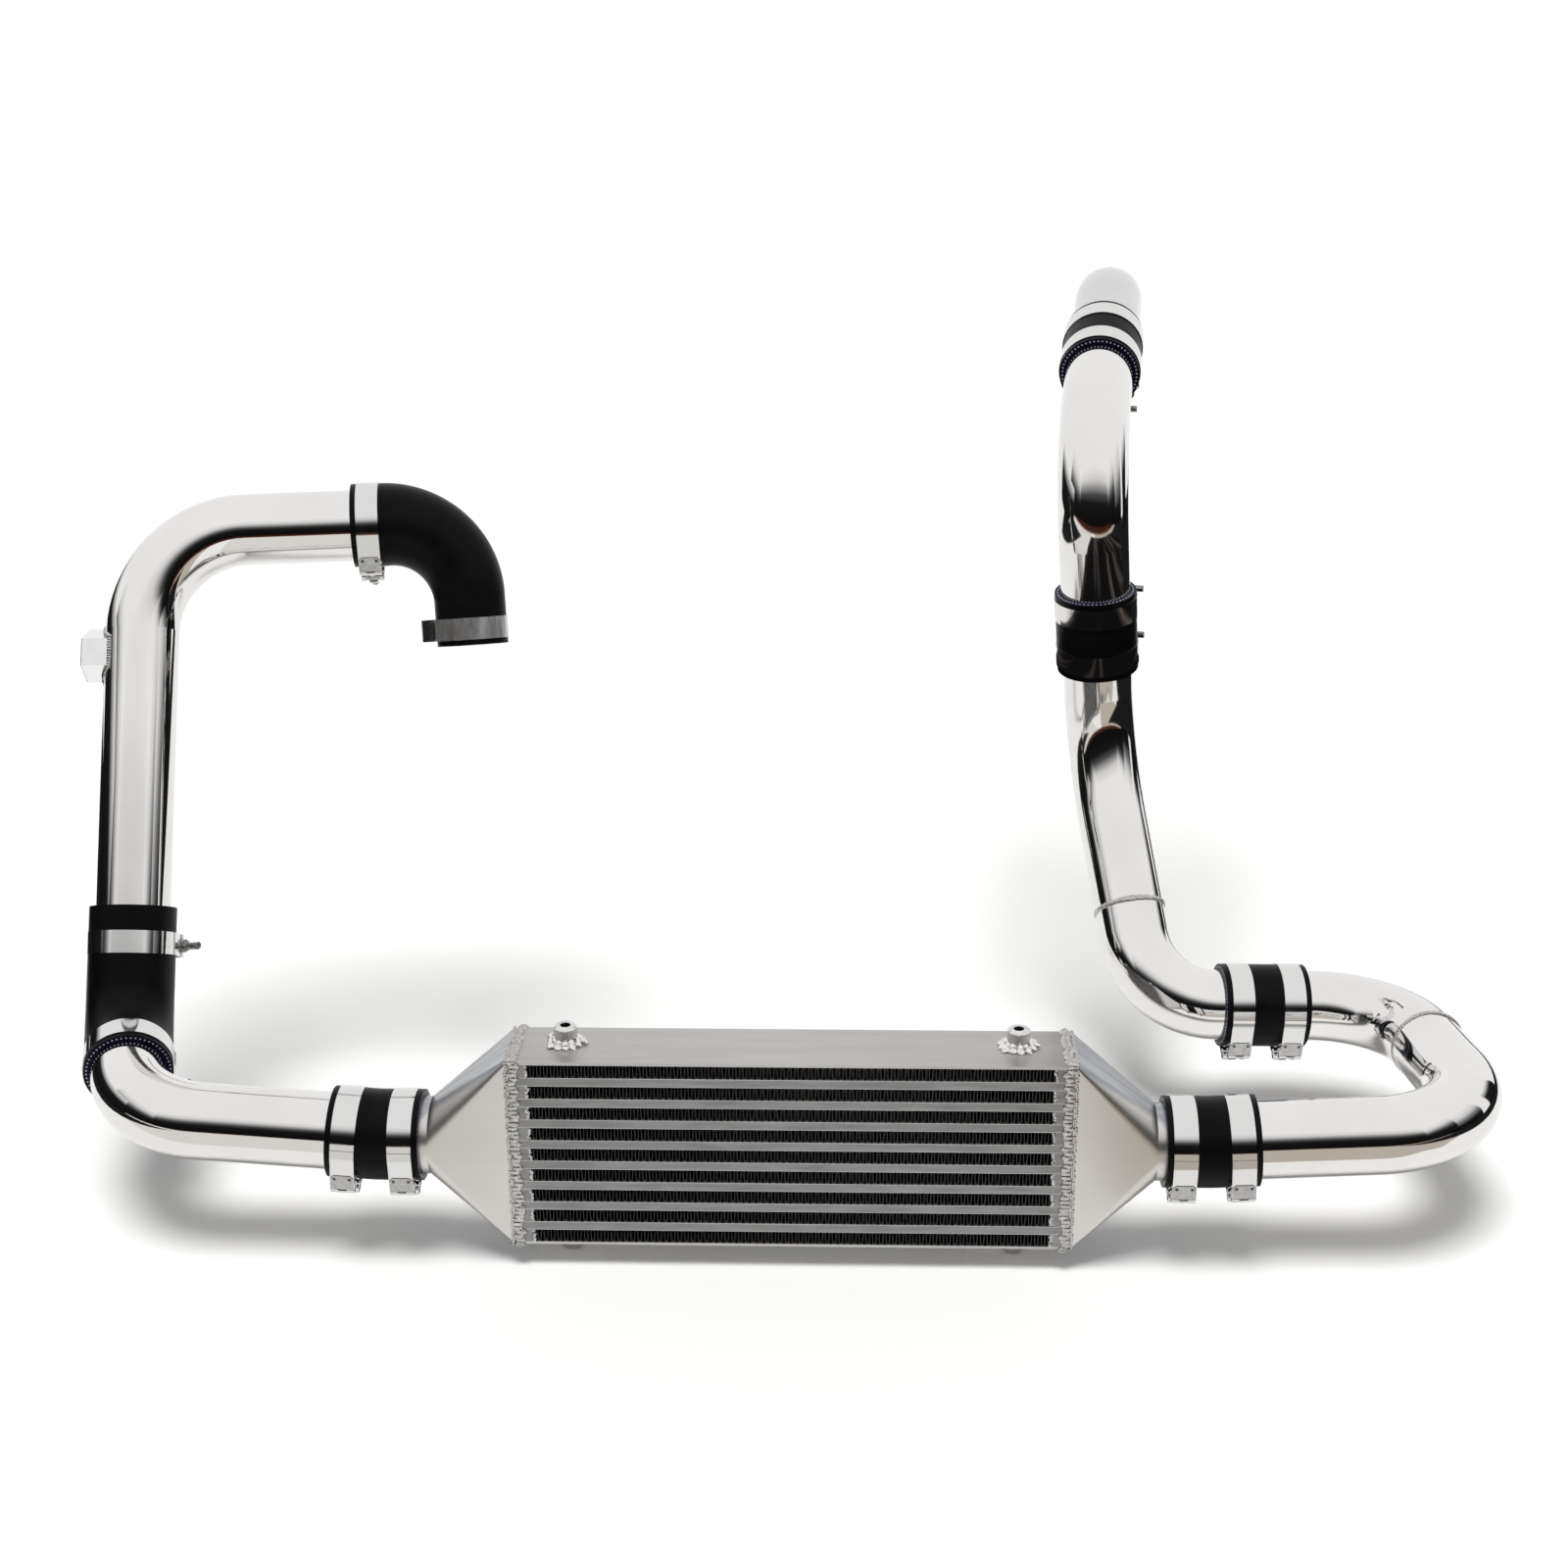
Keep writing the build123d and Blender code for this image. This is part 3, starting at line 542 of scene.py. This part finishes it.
def weldBead(name, stations, half, voxel, chance, replaces=(), tilt=0.0, look="weldBead"):
    # a run of overlapping puddles, melted into one skin; half = (along, across, up)
    puddles = bmesh.new()
    for place, along, up in stations:
        across = up.cross(along).normalized()
        turn = Matrix((along, across, up)).transposed().to_4x4() @ Matrix.Rotation(tilt, 4, "Y")
        grow = [size * chance.uniform(*puddle["vary"]) for size in half]
        bmesh.ops.create_icosphere(puddles, subdivisions=puddle["subdivisions"], radius=1,
                                   matrix=Matrix.Translation(place) @ turn @ Matrix.Diagonal((*grow, 1)))
    mesh = bpy.data.meshes.new("puddles")
    puddles.to_mesh(mesh)
    puddles.free()
    melt = bpy.data.objects.new("melt", mesh)
    bpy.context.scene.collection.objects.link(melt)
    skin = melt.modifiers.new("skin", "REMESH")
    skin.mode = "VOXEL"
    skin.voxel_size = voxel
    bpy.context.view_layer.update()
    bead = bpy.data.meshes.new_from_object(melt.evaluated_get(bpy.context.evaluated_depsgraph_get()))
    bpy.data.objects.remove(melt)
    bead.name = name
    markHollows(bead, voxel)
    addPiece(name, bead, metals[look], replaces, allSmooth)


def ringStations(centre, axis, radius, pitch, lift=0.0, lean=0.0):
    # places round a circle; up points outwards, leaning towards the axis's end by lean
    side = axis.orthogonal().normalized()
    up = axis.cross(side)
    count = round(2 * math.pi * radius / pitch)
    stations = []
    for k in range(count):
        angle = 2 * math.pi * k / count
        out = side * math.cos(angle) + up * math.sin(angle)
        along = axis.cross(out).normalized()
        normal = (out + axis * lean).normalized()
        stations.append((centre + out * radius + axis * lift, along, normal))
    return stations


def frameStations(x, halfDepth, middle, halfRise, pitch, drift, chance):
    # places round a rectangle across the core
    corners = [(-halfDepth, -halfRise), (halfDepth, -halfRise), (halfDepth, halfRise), (-halfDepth, halfRise)]
    stations = []
    for k in range(4):
        start = Vector((0, *corners[k]))
        end = Vector((0, *corners[(k + 1) % 4]))
        along = (end - start).normalized()
        up = along.cross(Vector((1, 0, 0)))
        if up.dot(start + end) < 0:
            up.negate()
        count = round((end - start).length / pitch)
        for step in range(count):
            spot = start + (end - start) * (step / count)
            shift = chance.uniform(-drift, drift)
            stations.append((Vector((x + shift, spot.y, middle + spot.z)), along, up))
    return stations


# Beads where the tanks join the core, with a thin seam on the tank's side
coreBead = {"width": 11 * mm, "pitch": 3.7 * mm, "half": (3.3 * mm, 4.5 * mm, 2.0 * mm), "drift": 1.7 * mm,
            "tilt": 0.42, "voxel": 0.5 * mm, "seed": 11}
seamBead = {"pitch": 2.6 * mm, "half": (1.9 * mm, 1.5 * mm, 1.1 * mm), "drift": 0.5 * mm, "voxel": 0.45 * mm}
beadChance = random.Random(coreBead["seed"])
plateLow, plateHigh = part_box("core_top_plate")
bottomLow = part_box("core_bottom_plate")[0]
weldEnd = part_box("core_welds")[1].x
coreMiddle = (plateHigh.z + bottomLow.z) / 2
coreHalfRise = (plateHigh.z - bottomLow.z) / 2
for side, label in ((-1, "Left"), (1, "Right")):
    middle = side * (weldEnd - coreBead["width"] / 2)
    stations = frameStations(middle, plateHigh.y, coreMiddle, coreHalfRise, coreBead["pitch"],
                             coreBead["drift"], beadChance)
    weldBead("coreBead" + label, stations, coreBead["half"], coreBead["voxel"], beadChance,
             ("core_welds",) if side < 0 else (), coreBead["tilt"])
    stations = frameStations(side * weldEnd, plateHigh.y, coreMiddle, coreHalfRise, seamBead["pitch"],
                             seamBead["drift"], beadChance)
    weldBead("seamBead" + label, stations, seamBead["half"], seamBead["voxel"], beadChance)

# Brazing that has run out at the ends of the fin rows, front and back
brazeRun = {"each": 7, "half": (1.3 * mm, 1.7 * mm, 0.9 * mm), "voxel": 0.5 * mm, "spread": 1.1 * mm,
            "sunk": 0.5 * mm}
stations = []
for node in finRows:
    low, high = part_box(node)
    for x in (low.x, high.x):
        for y, out in ((plateLow.y, -1), (plateHigh.y, 1)):
            for k in range(brazeRun["each"]):
                z = low.z + (high.z - low.z) * (k + beadChance.uniform(0, 1)) / brazeRun["each"]
                shift = beadChance.uniform(-brazeRun["spread"], brazeRun["spread"])
                spot = Vector((x + shift, y - out * brazeRun["sunk"], z))
                stations.append((spot, Vector((0, 0, 1)), Vector((0, out, 0))))
weldBead("brazeRuns", stations, brazeRun["half"], brazeRun["voxel"], beadChance)
print("core beads laid")

# Ring welds on the U pipe and the riser, and the bead round the sensor boss
ringBead = {"pitch": 2.6 * mm, "overlap": 0.75, "across": 2.9 * mm, "up": 1.25 * mm, "voxel": 0.35 * mm, "seed": 21}
ringChance = random.Random(ringBead["seed"])
pipeRadius = next(mount["dims"]["r_mm"] for mount in frame["record"]["mounts"]
                  if mount["name"] == "top_pipe_end") * mm
rings = []
for mesh in looseMeshes("pipe_welds"):
    # a ring weld has two flat ends that face apart
    ends = flatGroups(mesh)[:2]
    if len(ends) == 2 and abs(ends[0][1].dot(ends[1][1])) >= parallel:
        rings.append(ends)
ringHalf = (ringBead["pitch"] * ringBead["overlap"], ringBead["across"], ringBead["up"])
for label, (oneEnd, otherEnd) in zip(("U", "Riser"), rings):
    stations = ringStations((oneEnd[2] + otherEnd[2]) / 2, oneEnd[1], pipeRadius, ringBead["pitch"])
    weldBead("ringBead" + label, stations, ringHalf, ringBead["voxel"], ringChance,
             ("pipe_welds",) if label == "U" else ())

sensorBead = {"sides": 6, "flats": 41.6 * mm, "length": 16.5 * mm, "pitch": 2.4 * mm,
              "half": (1.8 * mm, 2.6 * mm, 2.2 * mm), "voxel": 0.4 * mm, "out": 1.6 * mm}
_, mouthAxis, mouthCentre = flatGroups(frame["nodes"]["sensor_boss"].data)[0]
pipeEnds = flatGroups(frame["nodes"]["left_riser_pipe"].data)[:2]
riserWay = -min(pipeEnds, key=lambda end: end[2].z)[1]
acrossWay = mouthAxis.cross(riserWay).normalized()
riserSpot = mouthCentre - mouthAxis * (pipeRadius + sensorBead["length"])
hexRadius = (sensorBead["flats"] / 2 + sensorBead["out"]) / math.cos(math.pi / sensorBead["sides"])
hexAngles = [math.radians(360 * k / sensorBead["sides"]) for k in range(sensorBead["sides"] + 1)]
hexCorners = [(hexRadius * math.cos(angle), hexRadius * math.sin(angle)) for angle in hexAngles]
stations = []
for (a0, b0), (a1, b1) in zip(hexCorners, hexCorners[1:]):
    count = round(math.hypot(a1 - a0, b1 - b0) / sensorBead["pitch"])
    for step in range(count):
        a = a0 + (a1 - a0) * step / count
        b = b0 + (b1 - b0) * step / count
        height = math.sqrt(max(pipeRadius ** 2 - b * b, 0))
        outward = (riserWay * a + acrossWay * b).normalized()
        surface = (acrossWay * b + mouthAxis * height).normalized()
        up = (outward + mouthAxis).normalized()
        along = (riserWay * (a1 - a0) + acrossWay * (b1 - b0)).normalized()
        along = (along - up * along.dot(up)).normalized()
        stations.append((riserSpot + riserWay * a + surface * pipeRadius, along, up))
weldBead("sensorBead", stations, sensorBead["half"], sensorBead["voxel"], ringChance)
print("pipe beads laid")

# Crown-like welds round the bosses
bossBead = {"rings": ((10.6 * mm, 2.2 * mm, 0.5), (13.8 * mm, 0.8 * mm, 1.4)), "pitch": 6.0 * mm,
            "half": (3.5 * mm, 4.4 * mm, 2.5 * mm), "drift": 1.9 * mm, "tilt": 0.45, "voxel": 0.4 * mm, "seed": 31}
bossChance = random.Random(bossBead["seed"])
firstBoss = True
for level, up in (("top", 1), ("bottom", -1)):
    for side in ("left", "right"):
        low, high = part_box(f"{level}_boss_{side}")
        foot = Vector(((low.x + high.x) / 2, (low.y + high.y) / 2, low.z if up > 0 else high.z))
        stations = []
        for radius, lift, lean in bossBead["rings"]:
            for place, along, normal in ringStations(foot, Vector((0, 0, up)), radius, bossBead["pitch"], lift, lean):
                shift = (place - foot).normalized() * bossChance.uniform(-bossBead["drift"], bossBead["drift"])
                stations.append((place + shift, along, normal))
        weldBead(f"bossBead_{level}_{side}", stations, bossBead["half"], bossBead["voxel"], bossChance,
                 ("boss_welds",) if firstBoss else (), bossBead["tilt"], "bossWeld")
        firstBoss = False
print("boss beads laid")

# Bolt threads and nut collars of the clamps
clampTrim = {"bolt": 6 * mm, "thread": 15 * mm, "pitch": 1.0 * mm, "proud": 0.16 * mm, "sunk": 0.05 * mm,
             "facets": 20, "collar": 1.6 * mm, "collarRadius": 4.3 * mm, "collarEdge": 0.5 * mm,
             "collarSlope": 0.7 * mm, "threadSharp": 60, "collarSharp": 40}


def spun(profile, centre, axis, facets):
    # a profile of (radius, place along the axis), turned round the axis
    shape = bmesh.new()
    side = axis.orthogonal().normalized()
    verts = [shape.verts.new(centre + side * radius + axis * place) for radius, place in profile]
    edges = [shape.edges.new(pair) for pair in zip(verts, verts[1:])]
    bmesh.ops.spin(shape, geom=verts + edges, cent=centre, axis=axis, angle=2 * math.pi, steps=facets,
                   use_merge=True, use_duplicate=False)
    bmesh.ops.remove_doubles(shape, verts=shape.verts, dist=sameTurn)
    bmesh.ops.recalc_face_normals(shape, faces=shape.faces)
    return shape


def joined(shapes, name):
    whole = bmesh.new()
    for shape in shapes:
        mesh = bpy.data.meshes.new("scratch")
        shape.to_mesh(mesh)
        shape.free()
        whole.from_mesh(mesh)
        bpy.data.meshes.remove(mesh)
    mesh = bpy.data.meshes.new(name)
    whole.to_mesh(mesh)
    whole.free()
    return mesh


threads = []
collars = []
for mesh in looseMeshes("clamp_t_bolts"):
    # the barrel's two end discs face each other, and the bolt's tip is square to both
    discs = flatGroups(mesh)
    ends = [disc for disc in discs if any(disc[1].dot(other[1]) < -parallel for other in discs)]
    middle = sum((disc[2] for disc in ends), Vector()) / len(ends)
    tip = max(discs, key=lambda disc: (disc[2] - middle).length)
    axis = tip[1]
    start = tip[2] - axis * clampTrim["thread"]
    root = clampTrim["bolt"] / 2
    groove = root - clampTrim["sunk"]
    turns = int(clampTrim["thread"] / clampTrim["pitch"]) - 1
    profile = []
    for k in range(turns):
        profile += [(groove, k * clampTrim["pitch"]), (root + clampTrim["proud"], (k + 0.5) * clampTrim["pitch"])]
    profile.append((groove, turns * clampTrim["pitch"]))
    threads.append(spun(profile, start, axis, clampTrim["facets"]))
    rim = clampTrim["collarRadius"]
    collarProfile = [(root, 0), (rim, 0), (rim, clampTrim["collarEdge"]),
                     (rim - clampTrim["collarSlope"], clampTrim["collar"]), (root, clampTrim["collar"])]
    collars.append(spun(collarProfile, start, axis, clampTrim["facets"]))
for name, shapes, sharp in (("boltThreads", threads, clampTrim["threadSharp"]),
                            ("nutCollars", collars, clampTrim["collarSharp"])):
    addPiece(name, joined(shapes, name), metals["boltSteel"], sharp=sharp)

# The doubled end of each band: a plate with two cut corners and two spot welds, over a slightly larger dark plate that
# is a painted gap shadow
lapPlate = {
    "size": (19.3 * mm, 13 * mm, 0.7 * mm),
    "corner": 2.8 * mm,
    "toHead": 8.0 * mm,            # from the middle of the band's flat towards the bolt
    "edge": 0.55 * mm,             # how far the painted gap shadow under the plate stands out, at half the plate's height
    "flat": 340 * mm * mm,         # least area of a band's flat
    "spots": 6.2 * mm,             # from the middle line to a spot weld
    "spotBack": 3.2 * mm,
    "spotSize": (1.5 * mm, 1.5 * mm, 0.15 * mm),
    "spotFacets": (14, 6),
}


def lapShape(turn, size, corner):
    # a plate at the place and turn given, its far two corners cut
    plate = bmesh.new()
    bmesh.ops.create_cube(plate, size=1, matrix=Matrix.Diagonal((*size, 1)))
    cut = [edge for edge in plate.edges if all(vert.co.y < 0 for vert in edge.verts)
           and abs(edge.verts[0].co.z - edge.verts[1].co.z) > size[2] / 2]
    bmesh.ops.bevel(plate, geom=cut, offset=corner, segments=1, profile=0.5, affect="EDGES", material=-1)
    bmesh.ops.transform(plate, matrix=turn, verts=plate.verts)
    return plate


def spotShape(turn, size, facets):
    spot = bmesh.new()
    bmesh.ops.create_uvsphere(spot, u_segments=facets[0], v_segments=facets[1], radius=1,
                              matrix=turn @ Matrix.Diagonal((*size, 1)))
    return spot


plates = []
gapShadows = []
spots = []
width, length, height = lapPlate["size"]
for node in [name for name in frame["nodes"] if "_clamp_" in name]:
    flats = [flat for flat in flatGroups(frame["nodes"][node].data, 2) if flat[0] > lapPlate["flat"]]
    low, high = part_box(node)
    middle = (low + high) / 2
    outer = sorted(flats, key=lambda flat: -flat[1].dot(flat[2] - middle))[:2]
    if len(outer) < 2:
        continue          # a band without flats has no doubled ends
    (_, firstWay, firstSpot), (_, secondWay, secondSpot) = outer
    axis = firstWay.cross(secondWay).normalized()
    for way, spot, other in ((firstWay, firstSpot, secondSpot), (secondWay, secondSpot, firstSpot)):
        head = axis.cross(way).normalized()
        if head.dot(other - spot) < 0:
            head.negate()
        side = head.cross(way)
        turn = Matrix((side, head, way)).transposed().to_4x4()
        centre = spot + head * lapPlate["toHead"]
        seat = Matrix.Translation(centre) @ turn
        plates.append(lapShape(seat, lapPlate["size"], lapPlate["corner"]))
        # a dark plate a little longer than the plate, as painted shadow in the gap at its edge
        gapShadows.append(lapShape(seat, (width, length + 2 * lapPlate["edge"], height / 2), lapPlate["corner"]))
        for hand in (-1, 1):
            dimple = centre + side * hand * lapPlate["spots"] - head * (length / 2 - lapPlate["spotBack"])
            spots.append(spotShape(Matrix.Translation(dimple + way * height / 2) @ turn, lapPlate["spotSize"],
                                   lapPlate["spotFacets"]))
print(len(plates), "doubled band ends")
# the doubled ends carry a darker copy of the clamp steel, as painted shade
addPiece("lapPlates", joined(plates, "lapPlates"), metals["lapSteelShaded"])
# the dark plates under the doubled ends are painted shadow
addPiece("lapGapShadows", joined(gapShadows, "lapGapShadows"), metals["weldSpotAndGapShade"])
addPiece("spotWelds", joined(spots, "spotWelds"), metals["weldSpotAndGapShade"], sharp=allSmooth)
print("clamp trim added")

# Pale floor and soft light; cards that only reflections see give the pipes their dark bands and warm undersides
studio = {
    "floorSize": 60.0,
    "floorLevel": -0.4 * mm,
    "floorColour": (0.92, 0.915, 0.905, 1),
    "floorLift": 0.07,
    "metalLift": 0.2,        # share of that lift that reflections see
    "world": 0.29,           # as it lights the object
    "worldInMetal": 0.95,
    "horizon": 1.05,         # as the camera sees it
    "sun": {"strength": 2.45, "angle": 26, "lean": (12, -5)},
    # brightness of the walls, as (share of their height, level)
    "fade": ((0.0, 0.004), (0.26, 0.010), (0.36, 0.08), (0.46, 0.40), (0.55, 0.74), (0.75, 0.95)),
    "lowFade": ((0.0, 0.004), (0.12, 0.010), (0.24, 0.20), (0.38, 0.70), (0.6, 0.95)),
    "shortFade": ((0.0, 0.006), (0.6, 0.012), (1.0, 0.90)),
    "walls": {
        "frontWall": {"corner": (-5, -4.5, 0), "across": (10, 0, 0), "rise": 6.0, "fade": "fade"},
        "rightWall": {"corner": (5, -4.5, 0), "across": (0, 3.2, 0), "rise": 5.0, "fade": "fade"},
        "farRightWall": {"corner": (5, -1.3, 0), "across": (0, 2.3, 0), "rise": 5.0, "fade": "lowFade"},
        "leftWall": {"corner": (-5, -4.5, 0), "across": (0, 4.5, 0), "rise": 5.0, "fade": "fade"},
        "leftCard": {"corner": (-2.6, -0.65, 0), "across": (0, 3.2, 0), "rise": 1.1, "fade": "shortFade"},
        "rightCard": {"corner": (3, 1.1, 0), "across": (0, 1.2, 0), "rise": 1.2, "fade": "shortFade"},
    },
    "grounds": {
        "frontGround": {"corner": (-5, -4.5, 0.6 * mm), "across": (10, 0, 0), "rise": (0, 2.2, 0),
                        "colour": (0.045, 0.018, 0.010, 1)},
        "nearRight": {"corner": (0.27, -2.08, 0.4 * mm), "across": (4.73, 0, 0), "rise": (0, 1.93, 0),
                      "colour": (0.52, 0.475, 0.42, 1)},
        "nearLeft": {"corner": (-5, -2.08, 0.4 * mm), "across": (4.73, 0, 0), "rise": (0, 1.93, 0),
                     "colour": (0.76, 0.75, 0.72, 1)},
        "warmEdge": {"corner": (-5, -2.3, 0.6 * mm), "across": (10, 0, 0), "rise": (0, 0.22, 0),
                     "colour": (0.30, 0.17, 0.11, 1)},
        "rightGround": {"corner": (1.05, -1.5, 0.6 * mm), "across": (3.95, 0, 0), "rise": (0, 4.5, 0),
                        "colour": grey(0.012)},
        "leftGround": {"corner": (-5, -1.0, 0.6 * mm), "across": (3.95, 0, 0), "rise": (0, 2.5, 0),
                       "colour": grey(0.012)},
    },
    # seen from above only, by the pipe over the riser's hose
    "shelf": {"corner": (0.13, -0.2), "across": (0.77, 0, 0), "rise": (0, 0.65, 0), "low": grey(0.006),
              "high": (0.16, 0.13, 0.12, 1), "spots": 22.0, "detail": 3.0, "coarse": 0.6, "stretch": (1, 0.08, 1),
              "stops": ((0.5, 0.0), (0.75, 1.0))},
}


def paint(name, colour):
    return Finish(name, {"Base Color": colour, "Roughness": 1.0, "Specular IOR Level": 0.0})


def fadingPaint(name, height, stops):
    # brightness that changes with height and needs no lamp
    finish = paint(name, grey(0.0))
    rise = finish.coordinate("Z") * (1 / height)
    finish.feed("Emission Color", finish.ramp(rise, *stops))
    finish.shader.inputs["Emission Strength"].default_value = 1.0
    return finish.material


def shelfPaint(name, look):
    # streaked dark paint above, clear from below
    finish = paint(name, look["low"])
    grain = finish.noise(look["spots"], look["detail"], look["coarse"], look["stretch"])
    streaks = finish.ramp(grain, *look["stops"])
    finish.feed("Base Color", finish.blend(streaks, look["low"], look["high"]))
    below = finish.node("ShaderNodeNewGeometry", output="Backfacing")
    clear = finish.node("ShaderNodeBsdfTransparent")
    both = finish.node("ShaderNodeMixShader", {}, {0: below, 1: Signal(finish, finish.shader.outputs[0]), 2: clear})
    finish.tree.links.new(both.socket, finish.output.inputs["Surface"])
    return finish.material


def floorPaint(spec):
    finish = paint("floorPaint", spec["floorColour"])
    camera, glossy, through = (finish.node("ShaderNodeLightPath", output=f"Is {kind} Ray")
                               for kind in ("Camera", "Glossy", "Transmission"))
    lift = spec["floorLift"] * (camera + spec["metalLift"] * glossy + through)
    emit = finish.node("ShaderNodeEmission", {}, {"Strength": lift})
    both = finish.node("ShaderNodeAddShader", {}, {0: Signal(finish, finish.shader.outputs[0]), 1: emit})
    finish.tree.links.new(both.socket, finish.output.inputs["Surface"])
    return finish.material


def stagePanel(name, corner, across, rise, material, onlyReflections=False):
    corner, across, rise = Vector(corner), Vector(across), Vector(rise)
    panel = bmesh.new()
    panel.faces.new([panel.verts.new(spot) for spot in (corner, corner + across, corner + across + rise,
                                                        corner + rise)])
    mesh = bpy.data.meshes.new(name)
    panel.to_mesh(mesh)
    panel.free()
    mesh.materials.append(material)
    thing = bpy.data.objects.new(name, mesh)
    bpy.context.scene.collection.objects.link(thing)
    if onlyReflections:
        thing.visible_camera = False
        thing.visible_shadow = False
        thing.visible_diffuse = False


halfFloor = studio["floorSize"] / 2
stagePanel("floor", (-halfFloor, -halfFloor, studio["floorLevel"]), (studio["floorSize"], 0, 0),
           (0, studio["floorSize"], 0), floorPaint(studio))
for name, wall in studio["walls"].items():
    stagePanel(name, wall["corner"], wall["across"], (0, 0, wall["rise"]),
               fadingPaint(name, wall["rise"], studio[wall["fade"]]), True)
for name, ground in studio["grounds"].items():
    stagePanel(name, ground["corner"], ground["across"], ground["rise"], paint(name, ground["colour"]).material, True)
shelf = studio["shelf"]
stagePanel("shelf", (*shelf["corner"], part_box("riser_coupler")[0].z), shelf["across"], shelf["rise"],
           shelfPaint("shelf", shelf), True)


def lightWorld(spec):
    # one strength for light, and paler ones for what mirrors, glass and the camera see
    world = bpy.data.worlds.new("studioWorld")
    bpy.context.scene.world = world
    world.use_nodes = True
    nodes = world.node_tree.nodes
    links = world.node_tree.links
    path = nodes.new("ShaderNodeLightPath")
    seen = None
    for output, level in (("Is Glossy Ray", spec["worldInMetal"]), ("Is Transmission Ray", spec["horizon"]),
                          ("Is Camera Ray", spec["horizon"])):
        change = nodes.new("ShaderNodeMix")
        change.inputs["A"].default_value = spec["world"]
        change.inputs["B"].default_value = level
        links.new(path.outputs[output], change.inputs["Factor"])
        if seen:
            links.new(seen, change.inputs["A"])
        seen = change.outputs["Result"]
    background = nodes["Background"]
    background.inputs["Color"].default_value = (1, 1, 1, 1)
    links.new(seen, background.inputs["Strength"])


lightWorld(studio)
sunData = bpy.data.lights.new("sun", "SUN")
sunData.energy = studio["sun"]["strength"]
sunData.angle = math.radians(studio["sun"]["angle"])
sun = bpy.data.objects.new("sun", sunData)
leanX, leanY = studio["sun"]["lean"]
sun.rotation_euler = (math.radians(leanX), math.radians(leanY), 0)
sun.visible_glossy = False
bpy.context.scene.collection.objects.link(sun)
print("studio lit")
